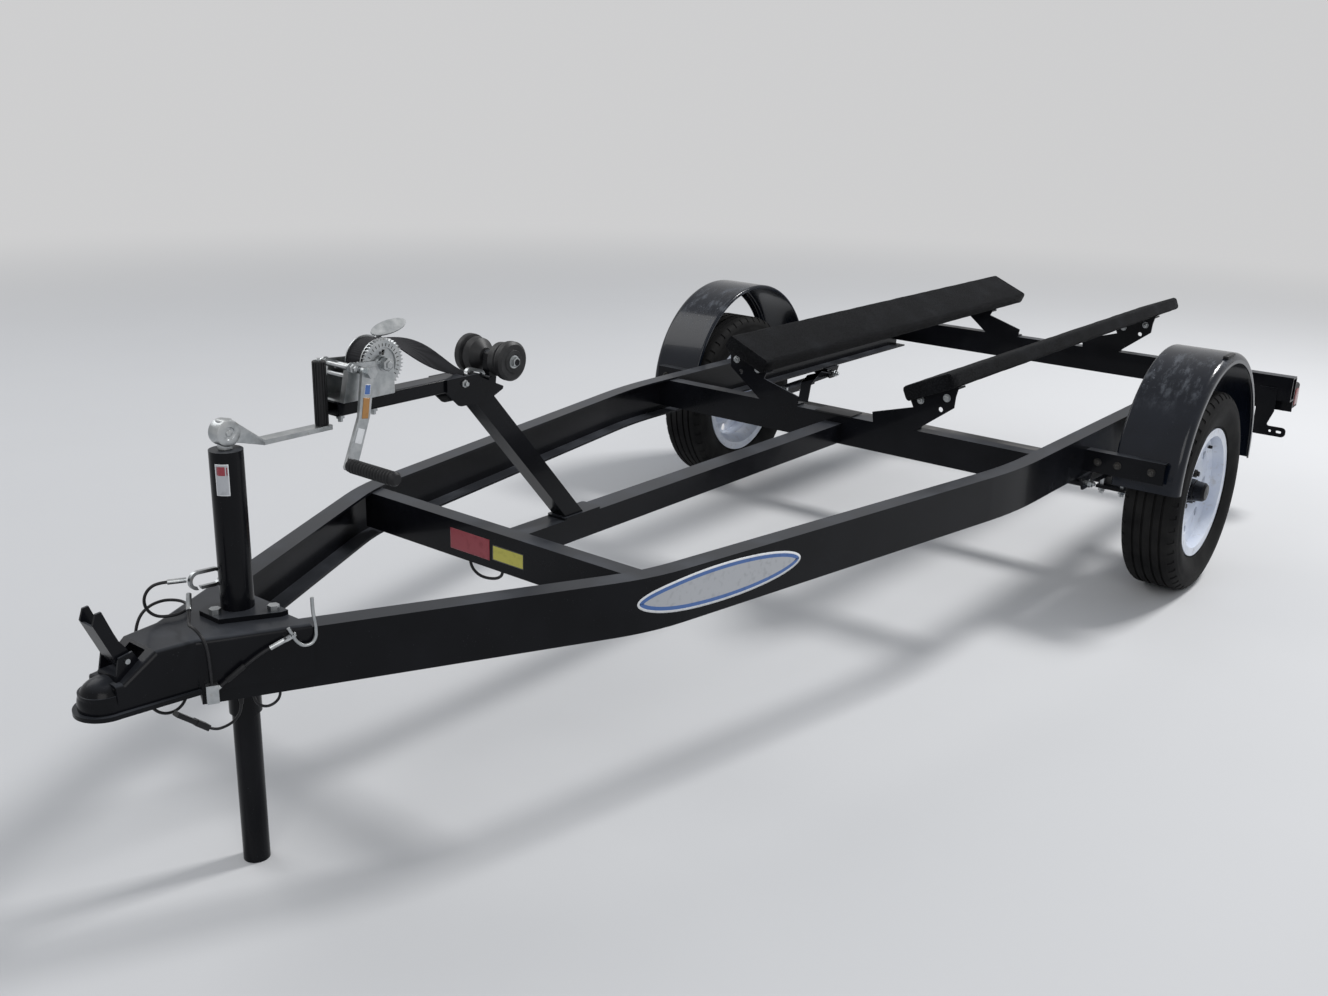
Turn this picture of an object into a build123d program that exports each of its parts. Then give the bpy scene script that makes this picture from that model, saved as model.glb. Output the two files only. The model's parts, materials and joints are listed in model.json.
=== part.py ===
from build123d import *
import os
from math import atan2, cos, degrees, hypot, pi, radians, sin, tan

os.makedirs("parts", exist_ok=True)

# Boat trailer, millimetres. +Z is up, the tongue points to -Y, +X is the trailer's left side.
# Origin: on the ground, on the centre line, half way along the trailer.

# Wheels and ride height
WHEEL_RADIUS = 265.0
TYRE_WIDTH = 146.0
RIM_RADIUS = 169.0
RIM_HALF_WIDTH = 57.0
RIDE_HEIGHT = 178.0         # top of the main rails above the axle
AXLE_Z = WHEEL_RADIUS
RAIL_TOP = AXLE_Z + RIDE_HEIGHT

# Overall lengths, from the axle
TONGUE_LENGTH = 2480.0      # to the front ends of the rails
BEND_1_AHEAD = 1808.0       # to the rails' front bend
BEND_2_AHEAD = 724.0        # to the rails' rear bend
RAIL_BEHIND = 831.0         # to the rear ends of the rails
BUNK_BEHIND = 1060.0        # to the rear ends of the bunks

# Coupler nose, ahead of the rails
BALL_AHEAD = 125.0
NOSE_RADIUS = 38.0
NOSE_LIP = 7.0
AXLE_Y = (TONGUE_LENGTH + BALL_AHEAD + NOSE_RADIUS + NOSE_LIP - BUNK_BEHIND) / 2

# Main rails, 4 inch channel with the open side inward
RAIL_HEIGHT = 102.0
RAIL_FLANGE = 40.0
RAIL_WALL = 5.0
TONGUE_HALF = 53.0          # outer half width where the rails start
BEND_1_HALF = 393.0         # at the front cross-member
BEND_1_RADIUS = 500.0
FRAME_HALF = 586.0          # outer half width beside the axle
BEND_2_RADIUS = 1200.0
TONGUE_Y = AXLE_Y - TONGUE_LENGTH
BEND_1_Y = AXLE_Y - BEND_1_AHEAD
BEND_2_Y = AXLE_Y - BEND_2_AHEAD
RAIL_REAR_Y = AXLE_Y + RAIL_BEHIND
RAIL_BOTTOM = RAIL_TOP - RAIL_HEIGHT
TONGUE_SLOPE = (BEND_1_HALF - TONGUE_HALF) / (BEND_1_Y - TONGUE_Y)

# Cross-members, 3 inch channel with the web to the front
CROSS_HEIGHT = 76.0
CROSS_DEPTH = 38.0
CROSS_WALL = 5.0
CROSS_TOP = RAIL_TOP - RAIL_WALL
FRONT_CROSS_Y = BEND_1_Y - 12.0
MIDDLE_CROSS_Y = AXLE_Y - 571.0
REAR_CROSS_TOP = RAIL_TOP - 8.0
REAR_CROSS_HALF = FRAME_HALF + 199.0

# Centre rail, square tube
KEEL_SIZE = 50.0
KEEL_WALL = 3.0
KEEL_TOP = CROSS_TOP - CROSS_HEIGHT + CROSS_WALL + KEEL_SIZE

# Coupler
BALL_Y = TONGUE_Y - BALL_AHEAD
BALL_Z = RAIL_TOP - 65.0
BALL_RADIUS = 25.4
COUPLER_WALL = 5.0
COUPLER_TOP = RAIL_TOP + COUPLER_WALL
COUPLER_LOW = RAIL_TOP - 80.0
COUPLER_ROUND = 9.0          # outer round along the top edges
DOME_TOP = BALL_Z + NOSE_RADIUS
COUPLER_REAR_Y = TONGUE_Y + 150.0
NECK_Y = TONGUE_Y - 4.0
SHOULDER_Y = TONGUE_Y - 62.0
LATCH_Y = TONGUE_Y - 98.0
LATCH_Z = RAIL_TOP - 4.0

# Jack
JACK_Y = TONGUE_Y + 108.0
JACK_RADIUS = 26.0
JACK_TOP = RAIL_TOP + 270.0
JACK_TUBE_BOTTOM = RAIL_TOP - 170.0
LEG_RADIUS = 22.0
LEG_TOP = RAIL_TOP + 36.0

# Winch stand
ARM_WIDTH = 38.0
ARM_HEIGHT = 25.0
ARM_WALL = 3.0
ARM_TOP = RAIL_TOP + 311.0
ARM_FRONT_Y = FRONT_CROSS_Y - 352.0
ARM_REAR_Y = FRONT_CROSS_Y - 75.0
JACK_GRIP_RADIUS = 12.0
JACK_CRANK_REACH = min(180.0, ARM_FRONT_Y - JACK_Y - JACK_GRIP_RADIUS - 7.0)
STRUT_DEPTH = 38.0
STRUT_TOP_Y = FRONT_CROSS_Y - 48.0
STRUT_FOOT_Y = FRONT_CROSS_Y + 220.0
STRUT_PLATE = 5.0

# Hand winch
GEAR_MODULE = 2.0
GEAR_TEETH = 41
PINION_TEETH = 10
WINCH_PLATE = 3.0
WINCH_INNER_HALF = 29.0
WINCH_CLEAR = 6.0           # gear above the base plate
WINCH_CRANK_LENGTH = 154.0
COIL_RADIUS = 39.0
REEL_RADIUS = 42.0
DRUM_Y = FRONT_CROSS_Y - 264.0
DRUM_Z = ARM_TOP + WINCH_PLATE + WINCH_CLEAR + GEAR_MODULE * (GEAR_TEETH / 2 + 0.9)

# Bow rollers
ROLLER_Y = FRONT_CROSS_Y + 8.0
ROLLER_Z = ARM_TOP + 19.0
ROLLER_RADIUS = 36.0
ROLLER_WIDTH = 48.0
ROLLER_BORE = 6.4

# Bunks
BUNK_WIDTH = 140.0
BUNK_THICK = 40.0
BUNK_TILT = 23.4
BUNK_UNDER_X = 280.0
BUNK_UNDER_Z = RAIL_TOP + 96.0
BUNK_FRONT_Y = MIDDLE_CROSS_Y - 20.0
BUNK_REAR_Y = AXLE_Y + BUNK_BEHIND
BRACKET_PLATE = 5.0

# Axle and springs
WHEEL_X = FRAME_HALF + 154.0
AXLE_SIZE = 50.0
AXLE_HALF = WHEEL_X - 78.0
SPINDLE_RADIUS = 16.0
SPRING_X = FRAME_HALF - RAIL_FLANGE / 2
SPRING_WIDTH = 44.0
SPRING_REACH = 318.0
SPRING_EYE_Z = RAIL_BOTTOM - 20.0
LEAF_THICK = 6.0
LEAF_TOP_Z = AXLE_Z + AXLE_SIZE / 2 + 3 * LEAF_THICK

# Fenders
FENDER_INNER_X = WHEEL_X - TYRE_WIDTH / 2 - 15.0
FENDER_OUTER_X = WHEEL_X + TYRE_WIDTH / 2 + 5.0
FENDER_RADIUS = WHEEL_RADIUS + 49.0
FENDER_Y = AXLE_Y + 6.0
FENDER_Z = AXLE_Z + 56.0
FENDER_WALL = 2.5
FENDER_ROUND = 18.0         # rolled outer edge
FENDER_LIP = 26.0           # depth of the outer edge below the top skin
FENDER_INNER_LIP = 10.0
FENDER_FRONT_ANGLE = 179.0
FENDER_REAR_ANGLE = -4.0

# Lights
LIGHT_WIDTH = 100.0
LIGHT_HEIGHT = 80.0
LIGHT_DEPTH = 70.0
LENS_THICK = 10.0

sides = [("left", 1.0), ("right", -1.0)]


def write(piece, name):
    piece.part.label = name
    export_step(piece.part, "parts/" + name + ".step")


# Frame
for name, side in sides:
    with BuildPart() as rail:
        with BuildLine(Plane.XY.offset(RAIL_TOP - RAIL_HEIGHT / 2)) as run:
            FilletPolyline(
                (side * TONGUE_HALF, TONGUE_Y),
                (side * BEND_1_HALF, BEND_1_Y),
                (side * FRAME_HALF, BEND_2_Y),
                (side * FRAME_HALF, RAIL_REAR_Y),
                radius=[BEND_1_RADIUS, BEND_2_RADIUS],
            )
        with BuildSketch(Plane(origin=run.line @ 0, x_dir=(0, 0, 1), z_dir=run.line % 0)):
            with BuildLine():
                half = RAIL_HEIGHT / 2
                Polyline(
                    (-half, 0),
                    (half, 0),
                    (half, -side * RAIL_FLANGE),
                    (half - RAIL_WALL, -side * RAIL_FLANGE),
                    (half - RAIL_WALL, -side * RAIL_WALL),
                    (-half + RAIL_WALL, -side * RAIL_WALL),
                    (-half + RAIL_WALL, -side * RAIL_FLANGE),
                    (-half, -side * RAIL_FLANGE),
                    close=True,
                )
            make_face()
        sweep(path=run.line)
    write(rail, "rail_" + name)

# Cross-members: name, front face, top, half length
cross_members = [
    ("cross_front", FRONT_CROSS_Y, CROSS_TOP, BEND_1_HALF - 31.0),
    ("cross_middle", MIDDLE_CROSS_Y, CROSS_TOP, FRAME_HALF - RAIL_WALL),
    ("cross_rear", RAIL_REAR_Y, REAR_CROSS_TOP, REAR_CROSS_HALF),
]
for name, front, top, half_length in cross_members:
    with BuildPart() as cross:
        with BuildSketch(Plane.YZ):
            with BuildLine():
                Polyline(
                    (front, top),
                    (front + CROSS_DEPTH, top),
                    (front + CROSS_DEPTH, top - CROSS_WALL),
                    (front + CROSS_WALL, top - CROSS_WALL),
                    (front + CROSS_WALL, top - CROSS_HEIGHT + CROSS_WALL),
                    (front + CROSS_DEPTH, top - CROSS_HEIGHT + CROSS_WALL),
                    (front + CROSS_DEPTH, top - CROSS_HEIGHT),
                    (front, top - CROSS_HEIGHT),
                    close=True,
                )
            make_face()
        extrude(amount=half_length, both=True)
    write(cross, name)

with BuildPart() as keel:
    with BuildSketch(Plane.XZ.offset(-(FRONT_CROSS_Y + CROSS_WALL))):
        with Locations((0, KEEL_TOP - KEEL_SIZE / 2)):
            Rectangle(KEEL_SIZE, KEEL_SIZE)
            Rectangle(KEEL_SIZE - 2 * KEEL_WALL, KEEL_SIZE - 2 * KEEL_WALL, mode=Mode.SUBTRACT)
    extrude(amount=-(MIDDLE_CROSS_Y - FRONT_CROSS_Y - CROSS_WALL))
write(keel, "centre_rail")

# Coupler: pressed shell round the meeting rails, with the ball socket in its nose
def tongue_half(y):
    return TONGUE_HALF + (y - TONGUE_Y) * TONGUE_SLOPE


# Shell and cavity: name, wall taken off each face
coupler_skins = {}
for name, wall in (("outer", 0.0), ("inner", COUPLER_WALL)):
    nose = NOSE_RADIUS - wall
    rear_y = COUPLER_REAR_Y + wall
    rear_half = tongue_half(rear_y) + COUPLER_WALL - wall
    neck_half = tongue_half(NECK_Y) + COUPLER_WALL - wall
    with BuildPart() as skin:
        with BuildSketch(Plane.XY.offset(COUPLER_LOW)):
            with BuildLine():
                Polyline((-nose, BALL_Y), (-neck_half, NECK_Y), (-rear_half, rear_y), (rear_half, rear_y),
                         (neck_half, NECK_Y), (nose, BALL_Y), close=True)
            make_face()
        extrude(amount=COUPLER_TOP - wall - COUPLER_LOW)
        with BuildSketch(Plane.YZ):
            with BuildLine():
                Polyline(
                    (BALL_Y - 60, COUPLER_LOW),
                    (BALL_Y - 60, DOME_TOP - 5 - wall),
                    (BALL_Y + 12, DOME_TOP - 5 - wall),
                    (SHOULDER_Y, COUPLER_TOP - wall),
                    (rear_y + 10, COUPLER_TOP - wall),
                    (rear_y + 10, COUPLER_LOW),
                    close=True,
                )
            make_face()
        extrude(amount=200, both=True, mode=Mode.INTERSECT)
        if name == "outer":
            side_edges = skin.edges().filter_by(lambda e: e.bounding_box().min.Z > DOME_TOP - 6 and abs(e.center().X) > 20)
            fillet(side_edges, COUPLER_ROUND)
        # domed nose over the ball
        with BuildSketch(Plane.YZ):
            with BuildLine():
                Line((BALL_Y, COUPLER_LOW), (BALL_Y - nose, COUPLER_LOW))
                Line((BALL_Y - nose, COUPLER_LOW), (BALL_Y - nose, BALL_Z))
                ThreePointArc((BALL_Y - nose, BALL_Z), (BALL_Y - nose * cos(radians(45)), BALL_Z + nose * sin(radians(45))),
                              (BALL_Y, BALL_Z + nose))
                Line((BALL_Y, BALL_Z + nose), (BALL_Y, COUPLER_LOW))
            make_face()
        revolve(axis=Axis((0, BALL_Y, 0), (0, 0, 1)))
    coupler_skins[name] = skin.part

with BuildPart() as coupler:
    add(coupler_skins["outer"])
    add(coupler_skins["inner"], mode=Mode.SUBTRACT)
    # rolled lip along the nose and the sides of the neck
    with BuildSketch(Plane.XY.offset(COUPLER_LOW)):
        for outward, mode in ((NOSE_LIP, Mode.ADD), (-COUPLER_WALL, Mode.SUBTRACT)):
            lip_nose = NOSE_RADIUS + outward
            lip_neck = tongue_half(NECK_Y) + COUPLER_WALL + outward
            with BuildLine():
                Polyline((-lip_nose, BALL_Y), (-lip_neck, NECK_Y), (lip_neck, NECK_Y), (lip_nose, BALL_Y))
                ThreePointArc((lip_nose, BALL_Y), (0, BALL_Y - lip_nose), (-lip_nose, BALL_Y))
            make_face(mode=mode)
        with Locations((0, NECK_Y)):
            Rectangle(2 * (tongue_half(NECK_Y) - RAIL_WALL), 60, mode=Mode.SUBTRACT)
    extrude(amount=7)
    # ball socket
    with BuildSketch(Plane.XY.offset(BALL_Z - 12)):
        with Locations((0, BALL_Y)):
            Circle(NOSE_RADIUS - 2)
    extrude(amount=30)
    with BuildSketch(Plane.YZ):
        with Locations((BALL_Y, BALL_Z)):
            Circle(BALL_RADIUS + 0.2)
        with Locations((BALL_Y + 40, BALL_Z)):
            Rectangle(80, 80, mode=Mode.SUBTRACT)
    revolve(axis=Axis((0, BALL_Y, 0), (0, 0, 1)), mode=Mode.SUBTRACT)
    with BuildSketch(Plane.XY.offset(BALL_Z - 14)):
        with Locations((0, BALL_Y)):
            Circle(BALL_RADIUS + 0.2)
    extrude(amount=14, mode=Mode.SUBTRACT)
    # jack hole
    with BuildSketch(Plane.XY.offset(COUPLER_TOP - COUPLER_WALL)):
        with Locations((0, JACK_Y)):
            Circle(JACK_RADIUS)
    extrude(amount=COUPLER_WALL, mode=Mode.SUBTRACT)
    # latch lugs
    with BuildSketch(Plane.YZ):
        with BuildLine():
            Polyline((LATCH_Y - 20, DOME_TOP - 6), (LATCH_Y - 12, LATCH_Z + 8), (LATCH_Y + 10, LATCH_Z + 12),
                     (LATCH_Y + 26, DOME_TOP + 6), close=True)
        make_face()
    extrude(amount=25, both=True)
    with BuildSketch(Plane.XZ.offset(-(LATCH_Y - 40))):
        with Locations((0, LATCH_Z + 6)):
            Rectangle(42, 52)
    extrude(amount=-72, mode=Mode.SUBTRACT)
    with BuildSketch(Plane.YZ.offset(-30)):
        with Locations((LATCH_Y, LATCH_Z)):
            Circle(4)
    extrude(amount=60, mode=Mode.SUBTRACT)
write(coupler, "coupler_body")

with BuildPart() as latch_pin:
    with BuildSketch(Plane.YZ.offset(-28)):
        with Locations((LATCH_Y, LATCH_Z)):
            Circle(4)
    extrude(amount=56)
write(latch_pin, "coupler_pin")

# Latch lever: a pressed channel with two pointed cheeks and a web along its front
LATCH_HALF = 19.0
with BuildPart() as latch:
    with BuildSketch(Plane.YZ):
        with BuildLine():
            Polyline(
                (LATCH_Y - 9, LATCH_Z - 9),
                (LATCH_Y + 9, LATCH_Z - 7),
                (LATCH_Y + 10, LATCH_Z + 8),
                (LATCH_Y + 4, LATCH_Z + 18),
                (LATCH_Y - 6, LATCH_Z + 32),
                (LATCH_Y - 13, LATCH_Z + 48),
                (LATCH_Y - 27, LATCH_Z + 84),
                (LATCH_Y - 36, LATCH_Z + 83),
                (LATCH_Y - 42, LATCH_Z + 66),
                close=True,
            )
        make_face()
    extrude(amount=LATCH_HALF, both=True)
    # hollow behind the web
    with BuildSketch(Plane.YZ):
        with BuildLine():
            Polyline(
                (LATCH_Y - 14, LATCH_Z + 16),
                (LATCH_Y + 30, LATCH_Z + 8),
                (LATCH_Y + 30, LATCH_Z + 100),
                (LATCH_Y - 60, LATCH_Z + 100),
                (LATCH_Y - 60, LATCH_Z + 70),
                (LATCH_Y - 35, LATCH_Z + 62),
                close=True,
            )
        make_face()
    extrude(amount=LATCH_HALF - 4, both=True, mode=Mode.SUBTRACT)
    with BuildSketch(Plane.YZ.offset(-30)):
        with Locations((LATCH_Y, LATCH_Z)):
            Circle(4.2)
    extrude(amount=60, mode=Mode.SUBTRACT)
write(latch, "coupler_latch")

# Jack
with BuildPart() as jack_tube:
    with BuildSketch(Plane.XY.offset(JACK_TUBE_BOTTOM)):
        with Locations((0, JACK_Y)):
            Circle(JACK_RADIUS)
            Circle(JACK_RADIUS - 3, mode=Mode.SUBTRACT)
    extrude(amount=JACK_TOP - JACK_TUBE_BOTTOM)
    with BuildSketch(Plane.XY.offset(JACK_TOP - 5)):
        with Locations((0, JACK_Y)):
            Circle(JACK_RADIUS)
            Circle(8.5, mode=Mode.SUBTRACT)
    extrude(amount=5)
    # triangular flange that bolts down on the coupler
    with BuildSketch(Plane.XY.offset(COUPLER_TOP)):
        with BuildLine():
            Polyline((-26, JACK_Y - 52), (26, JACK_Y - 52), (72, JACK_Y + 30), (72, JACK_Y + 42),
                     (-72, JACK_Y + 42), (-72, JACK_Y + 30), close=True)
        make_face()
        with Locations((0, JACK_Y)):
            Circle(JACK_RADIUS - 1, mode=Mode.SUBTRACT)
    extrude(amount=8)
write(jack_tube, "jack_tube")

with BuildPart() as jack_bolts:
    for x, y in ((-54, JACK_Y + 28), (54, JACK_Y + 28), (0, JACK_Y - 41)):
        with BuildSketch(Plane.XY.offset(COUPLER_TOP + 8)):
            with Locations((x, y)):
                RegularPolygon(9.5, 6)
        extrude(amount=8)
write(jack_bolts, "jack_bolts")

with BuildPart() as jack_leg:
    with BuildSketch(Plane.XY):
        with Locations((0, JACK_Y)):
            Circle(LEG_RADIUS)
    extrude(amount=LEG_TOP)
    with BuildSketch(Plane.XY.offset(6)):
        with Locations((0, JACK_Y)):
            Circle(LEG_RADIUS - 3)
    extrude(amount=LEG_TOP - 6 - 12, mode=Mode.SUBTRACT)
    with BuildSketch(Plane.XY.offset(LEG_TOP - 12)):
        with Locations((0, JACK_Y)):
            Circle(9)
    extrude(amount=12, mode=Mode.SUBTRACT)
write(jack_leg, "jack_leg")

CRANK_HUB_TOP = JACK_TOP + 46
GRIP_BASE = JACK_TOP + 4
with BuildPart() as jack_crank:
    with BuildSketch(Plane.XY.offset(JACK_TUBE_BOTTOM + 27)):
        with Locations((0, JACK_Y)):
            Circle(8)
    extrude(amount=JACK_TOP - JACK_TUBE_BOTTOM - 27 + 2)
    with BuildSketch(Plane.XY.offset(JACK_TOP + 2)):
        with Locations((0, JACK_Y)):
            Circle(JACK_GRIP_RADIUS)
    extrude(amount=CRANK_HUB_TOP - JACK_TOP - 2)
    with BuildSketch(Plane.YZ):
        with BuildLine():
            Polyline(
                (JACK_Y - 4, CRANK_HUB_TOP - 26),
                (JACK_Y + 26, CRANK_HUB_TOP - 34),
                (JACK_Y + 60, GRIP_BASE - 8),
                (JACK_Y + JACK_CRANK_REACH + 12, GRIP_BASE - 8),
                (JACK_Y + JACK_CRANK_REACH + 12, GRIP_BASE),
                (JACK_Y + 63, GRIP_BASE),
                (JACK_Y + 30, CRANK_HUB_TOP - 26),
                (JACK_Y - 4, CRANK_HUB_TOP - 18),
                close=True,
            )
        make_face()
    extrude(amount=12, both=True)
write(jack_crank, "jack_crank")

with BuildPart() as jack_grip:
    with BuildSketch(Plane.XY.offset(GRIP_BASE)):
        with Locations((0, JACK_Y + JACK_CRANK_REACH)):
            Circle(JACK_GRIP_RADIUS)
    extrude(amount=106)
write(jack_grip, "jack_grip")

# Winch stand
ARM_BOTTOM = ARM_TOP - ARM_HEIGHT
with BuildPart() as arm:
    with BuildSketch(Plane.XZ.offset(-ARM_FRONT_Y)):
        with Locations((0, ARM_TOP - ARM_HEIGHT / 2)):
            RectangleRounded(ARM_WIDTH, ARM_HEIGHT, 4)
            RectangleRounded(ARM_WIDTH - 2 * ARM_WALL, ARM_HEIGHT - 2 * ARM_WALL, 1.5, mode=Mode.SUBTRACT)
    extrude(amount=-(ARM_REAR_Y - ARM_FRONT_Y))
write(arm, "winch_arm")

STRUT_FOOT = KEEL_TOP + STRUT_PLATE
STRUT_RUN = STRUT_FOOT_Y - STRUT_TOP_Y
STRUT_DROP = ARM_BOTTOM - STRUT_FOOT
STRUT_HALF_CUT = STRUT_DEPTH / 2 / cos(atan2(STRUT_RUN, STRUT_DROP))
with BuildPart() as strut:
    for half_cut, half_width, mode in (
        (STRUT_HALF_CUT, ARM_WIDTH / 2, Mode.ADD),
        (STRUT_HALF_CUT - 4, ARM_WIDTH / 2 - 3, Mode.SUBTRACT),
    ):
        with BuildSketch(Plane.YZ):
            with BuildLine():
                Polyline(
                    (STRUT_TOP_Y - half_cut, ARM_BOTTOM),
                    (STRUT_TOP_Y + half_cut, ARM_BOTTOM),
                    (STRUT_FOOT_Y + half_cut, STRUT_FOOT),
                    (STRUT_FOOT_Y - half_cut, STRUT_FOOT),
                    close=True,
                )
            make_face()
        extrude(amount=half_width, both=True, mode=mode)
    with BuildSketch(Plane.XY.offset(KEEL_TOP)):
        with Locations((0, STRUT_FOOT_Y + 20)):
            RectangleRounded(KEEL_SIZE, 110, 6)
    extrude(amount=STRUT_PLATE)
write(strut, "winch_strut")

# Hand winch
CENTRE_DROP = 2.0
PINION_Z = DRUM_Z - CENTRE_DROP
GEAR_THICK = 6.0
GEAR_X = WINCH_INNER_HALF - GEAR_THICK - 1.5
REEL_HALF = GEAR_X - 3.0
PINION_Y = DRUM_Y - (((GEAR_MODULE * (GEAR_TEETH + PINION_TEETH) / 2) ** 2 - CENTRE_DROP**2) ** 0.5)
MESH_ANGLE = degrees(atan2(PINION_Z - DRUM_Z, PINION_Y - DRUM_Y))
CRANK_X = WINCH_INNER_HALF + WINCH_PLATE + 17.0
PLATE_FRONT_Y = PINION_Y - 36.0
PLATE_REAR_Y = DRUM_Y + 19.0


def toothed(teeth, clearance):
    pitch = GEAR_MODULE * teeth / 2
    root = pitch - 1.25 * GEAR_MODULE
    tip = pitch + 0.9 * GEAR_MODULE
    half_root = GEAR_MODULE * 1.0 - clearance
    half_tip = GEAR_MODULE * 0.42 - clearance
    Circle(root)
    with PolarLocations(0, teeth):
        Polygon((root - 0.4, -half_root), (tip, -half_tip), (tip, half_tip), (root - 0.4, half_root), align=None)


# One pressed channel: base and two side plates with a flange turned in along each front edge
with BuildPart() as winch_frame:
    half = WINCH_INNER_HALF + WINCH_PLATE
    with BuildSketch(Plane.YZ.offset(-half)):
        with BuildLine():
            FilletPolyline(
                (PLATE_FRONT_Y, ARM_TOP),
                (PLATE_REAR_Y, ARM_TOP),
                (PLATE_REAR_Y, DRUM_Z + 5),
                (PLATE_FRONT_Y + 18, DRUM_Z + 11),
                radius=[1, 6],
            )
            FilletPolyline(
                (PLATE_FRONT_Y + 18, DRUM_Z + 11),
                (PLATE_FRONT_Y + 14, DRUM_Z + 11.4),
                (PLATE_FRONT_Y, ARM_TOP),
                radius=3.5,
            )
        make_face()
        with Locations((DRUM_Y, DRUM_Z), (PINION_Y, PINION_Z)):
            Circle(6.5, mode=Mode.SUBTRACT)
    extrude(amount=2 * half)
    with BuildSketch(Plane.YZ.offset(-WINCH_INNER_HALF)):
        with Locations((DRUM_Y, ARM_TOP + WINCH_PLATE + 60)):
            Rectangle(240, 120)
    extrude(amount=2 * WINCH_INNER_HALF, mode=Mode.SUBTRACT)
    for x in (-half, WINCH_INNER_HALF - 9):
        with BuildSketch(Plane.YZ.offset(x)):
            with BuildLine():
                Polyline((PLATE_FRONT_Y + 0.4, ARM_TOP), (PLATE_FRONT_Y + 3.4, ARM_TOP), (PLATE_FRONT_Y + 14.6, DRUM_Z),
                         (PLATE_FRONT_Y + 11.6, DRUM_Z), close=True)
            make_face()
        extrude(amount=9 + WINCH_PLATE)
    # spacer rods across the top of the front
    for y, z in ((PLATE_FRONT_Y + 17, DRUM_Z + 4), (PLATE_FRONT_Y + 13, DRUM_Z - 10)):
        with BuildSketch(Plane.YZ.offset(-half)):
            with Locations((y, z)):
                Circle(3.5)
        extrude(amount=2 * half)
write(winch_frame, "winch_frame")

# Gear, hub, reel cheeks and axle turn as one piece; the gear's face is dished and pierced
with BuildPart() as drum:
    with BuildSketch(Plane.YZ.offset(-44)):
        with Locations((DRUM_Y, DRUM_Z)):
            Circle(6)
    extrude(amount=44 + WINCH_INNER_HALF + WINCH_PLATE + 10)
    for x, thick, radius in ((-REEL_HALF, 2.0, REEL_RADIUS), (REEL_HALF - 2, 2.0, REEL_RADIUS - 2),
                             (-REEL_HALF, 2 * REEL_HALF + 4, 14.0)):
        with BuildSketch(Plane.YZ.offset(x)):
            with Locations((DRUM_Y, DRUM_Z)):
                Circle(radius)
        extrude(amount=thick)
    with BuildSketch(Plane.YZ.offset(GEAR_X)):
        with Locations(Location((DRUM_Y, DRUM_Z), MESH_ANGLE + 180 / GEAR_TEETH)):
            toothed(GEAR_TEETH, 0.25)
    extrude(amount=GEAR_THICK)
    with BuildSketch(Plane.YZ.offset(GEAR_X + GEAR_THICK - 3)):
        with Locations((DRUM_Y, DRUM_Z)):
            Circle(27)
            Circle(12, mode=Mode.SUBTRACT)
    extrude(amount=3, mode=Mode.SUBTRACT)
    with BuildSketch(Plane.YZ.offset(GEAR_X)):
        with Locations((DRUM_Y, DRUM_Z)):
            with PolarLocations(20, 3, start_angle=80):
                Rectangle(6, 6)
    extrude(amount=GEAR_THICK, mode=Mode.SUBTRACT)
write(drum, "winch_drum")

with BuildPart() as coil:
    with BuildSketch(Plane.YZ.offset(-REEL_HALF + 2.5)):
        with Locations((DRUM_Y, DRUM_Z)):
            Circle(COIL_RADIUS)
            Circle(14, mode=Mode.SUBTRACT)
    extrude(amount=2 * REEL_HALF - 5)
write(coil, "strap_coil")

GRIP_Y = PINION_Y - 0.32 * WINCH_CRANK_LENGTH
GRIP_Z = PINION_Z - 0.947 * WINCH_CRANK_LENGTH
with BuildPart() as winch_crank:
    with BuildSketch(Plane.YZ.offset(-40)):
        with Locations((PINION_Y, PINION_Z)):
            Circle(6)
    extrude(amount=40 + CRANK_X + 10)
    with BuildSketch(Plane.YZ.offset(GEAR_X - 1)):
        with Locations(Location((PINION_Y, PINION_Z), MESH_ANGLE + 180)):
            toothed(PINION_TEETH, 0.25)
    extrude(amount=GEAR_THICK + 1.8)
    # flat arm, bowed a little forward
    with BuildSketch(Plane.YZ.offset(CRANK_X)):
        with BuildLine():
            FilletPolyline(
                (PINION_Y - 14, PINION_Z + 8),
                (PINION_Y + 11, PINION_Z + 8),
                (PINION_Y - 2, PINION_Z - 70),
                (GRIP_Y + 25, GRIP_Z + 16),
                (GRIP_Y + 15, GRIP_Z - 9),
                (GRIP_Y - 11, GRIP_Z - 9),
                (PINION_Y - 25, PINION_Z - 70),
                close=True,
                radius=6,
            )
        make_face()
    extrude(amount=6)
    with BuildSketch(Plane.YZ.offset(CRANK_X + 6)):
        with Locations((PINION_Y, PINION_Z)):
            RegularPolygon(10, 6)
    extrude(amount=8)
    with BuildSketch(Plane.YZ.offset(CRANK_X + 6)):
        with Locations((GRIP_Y, GRIP_Z)):
            Circle(5)
    extrude(amount=116)
write(winch_crank, "winch_crank")

with BuildPart() as winch_grip:
    with BuildSketch(Plane.YZ.offset(CRANK_X + 7)):
        with Locations((GRIP_Y, GRIP_Z)):
            Circle(12)
            Circle(5, mode=Mode.SUBTRACT)
    extrude(amount=113)
write(winch_grip, "winch_grip")

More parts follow.
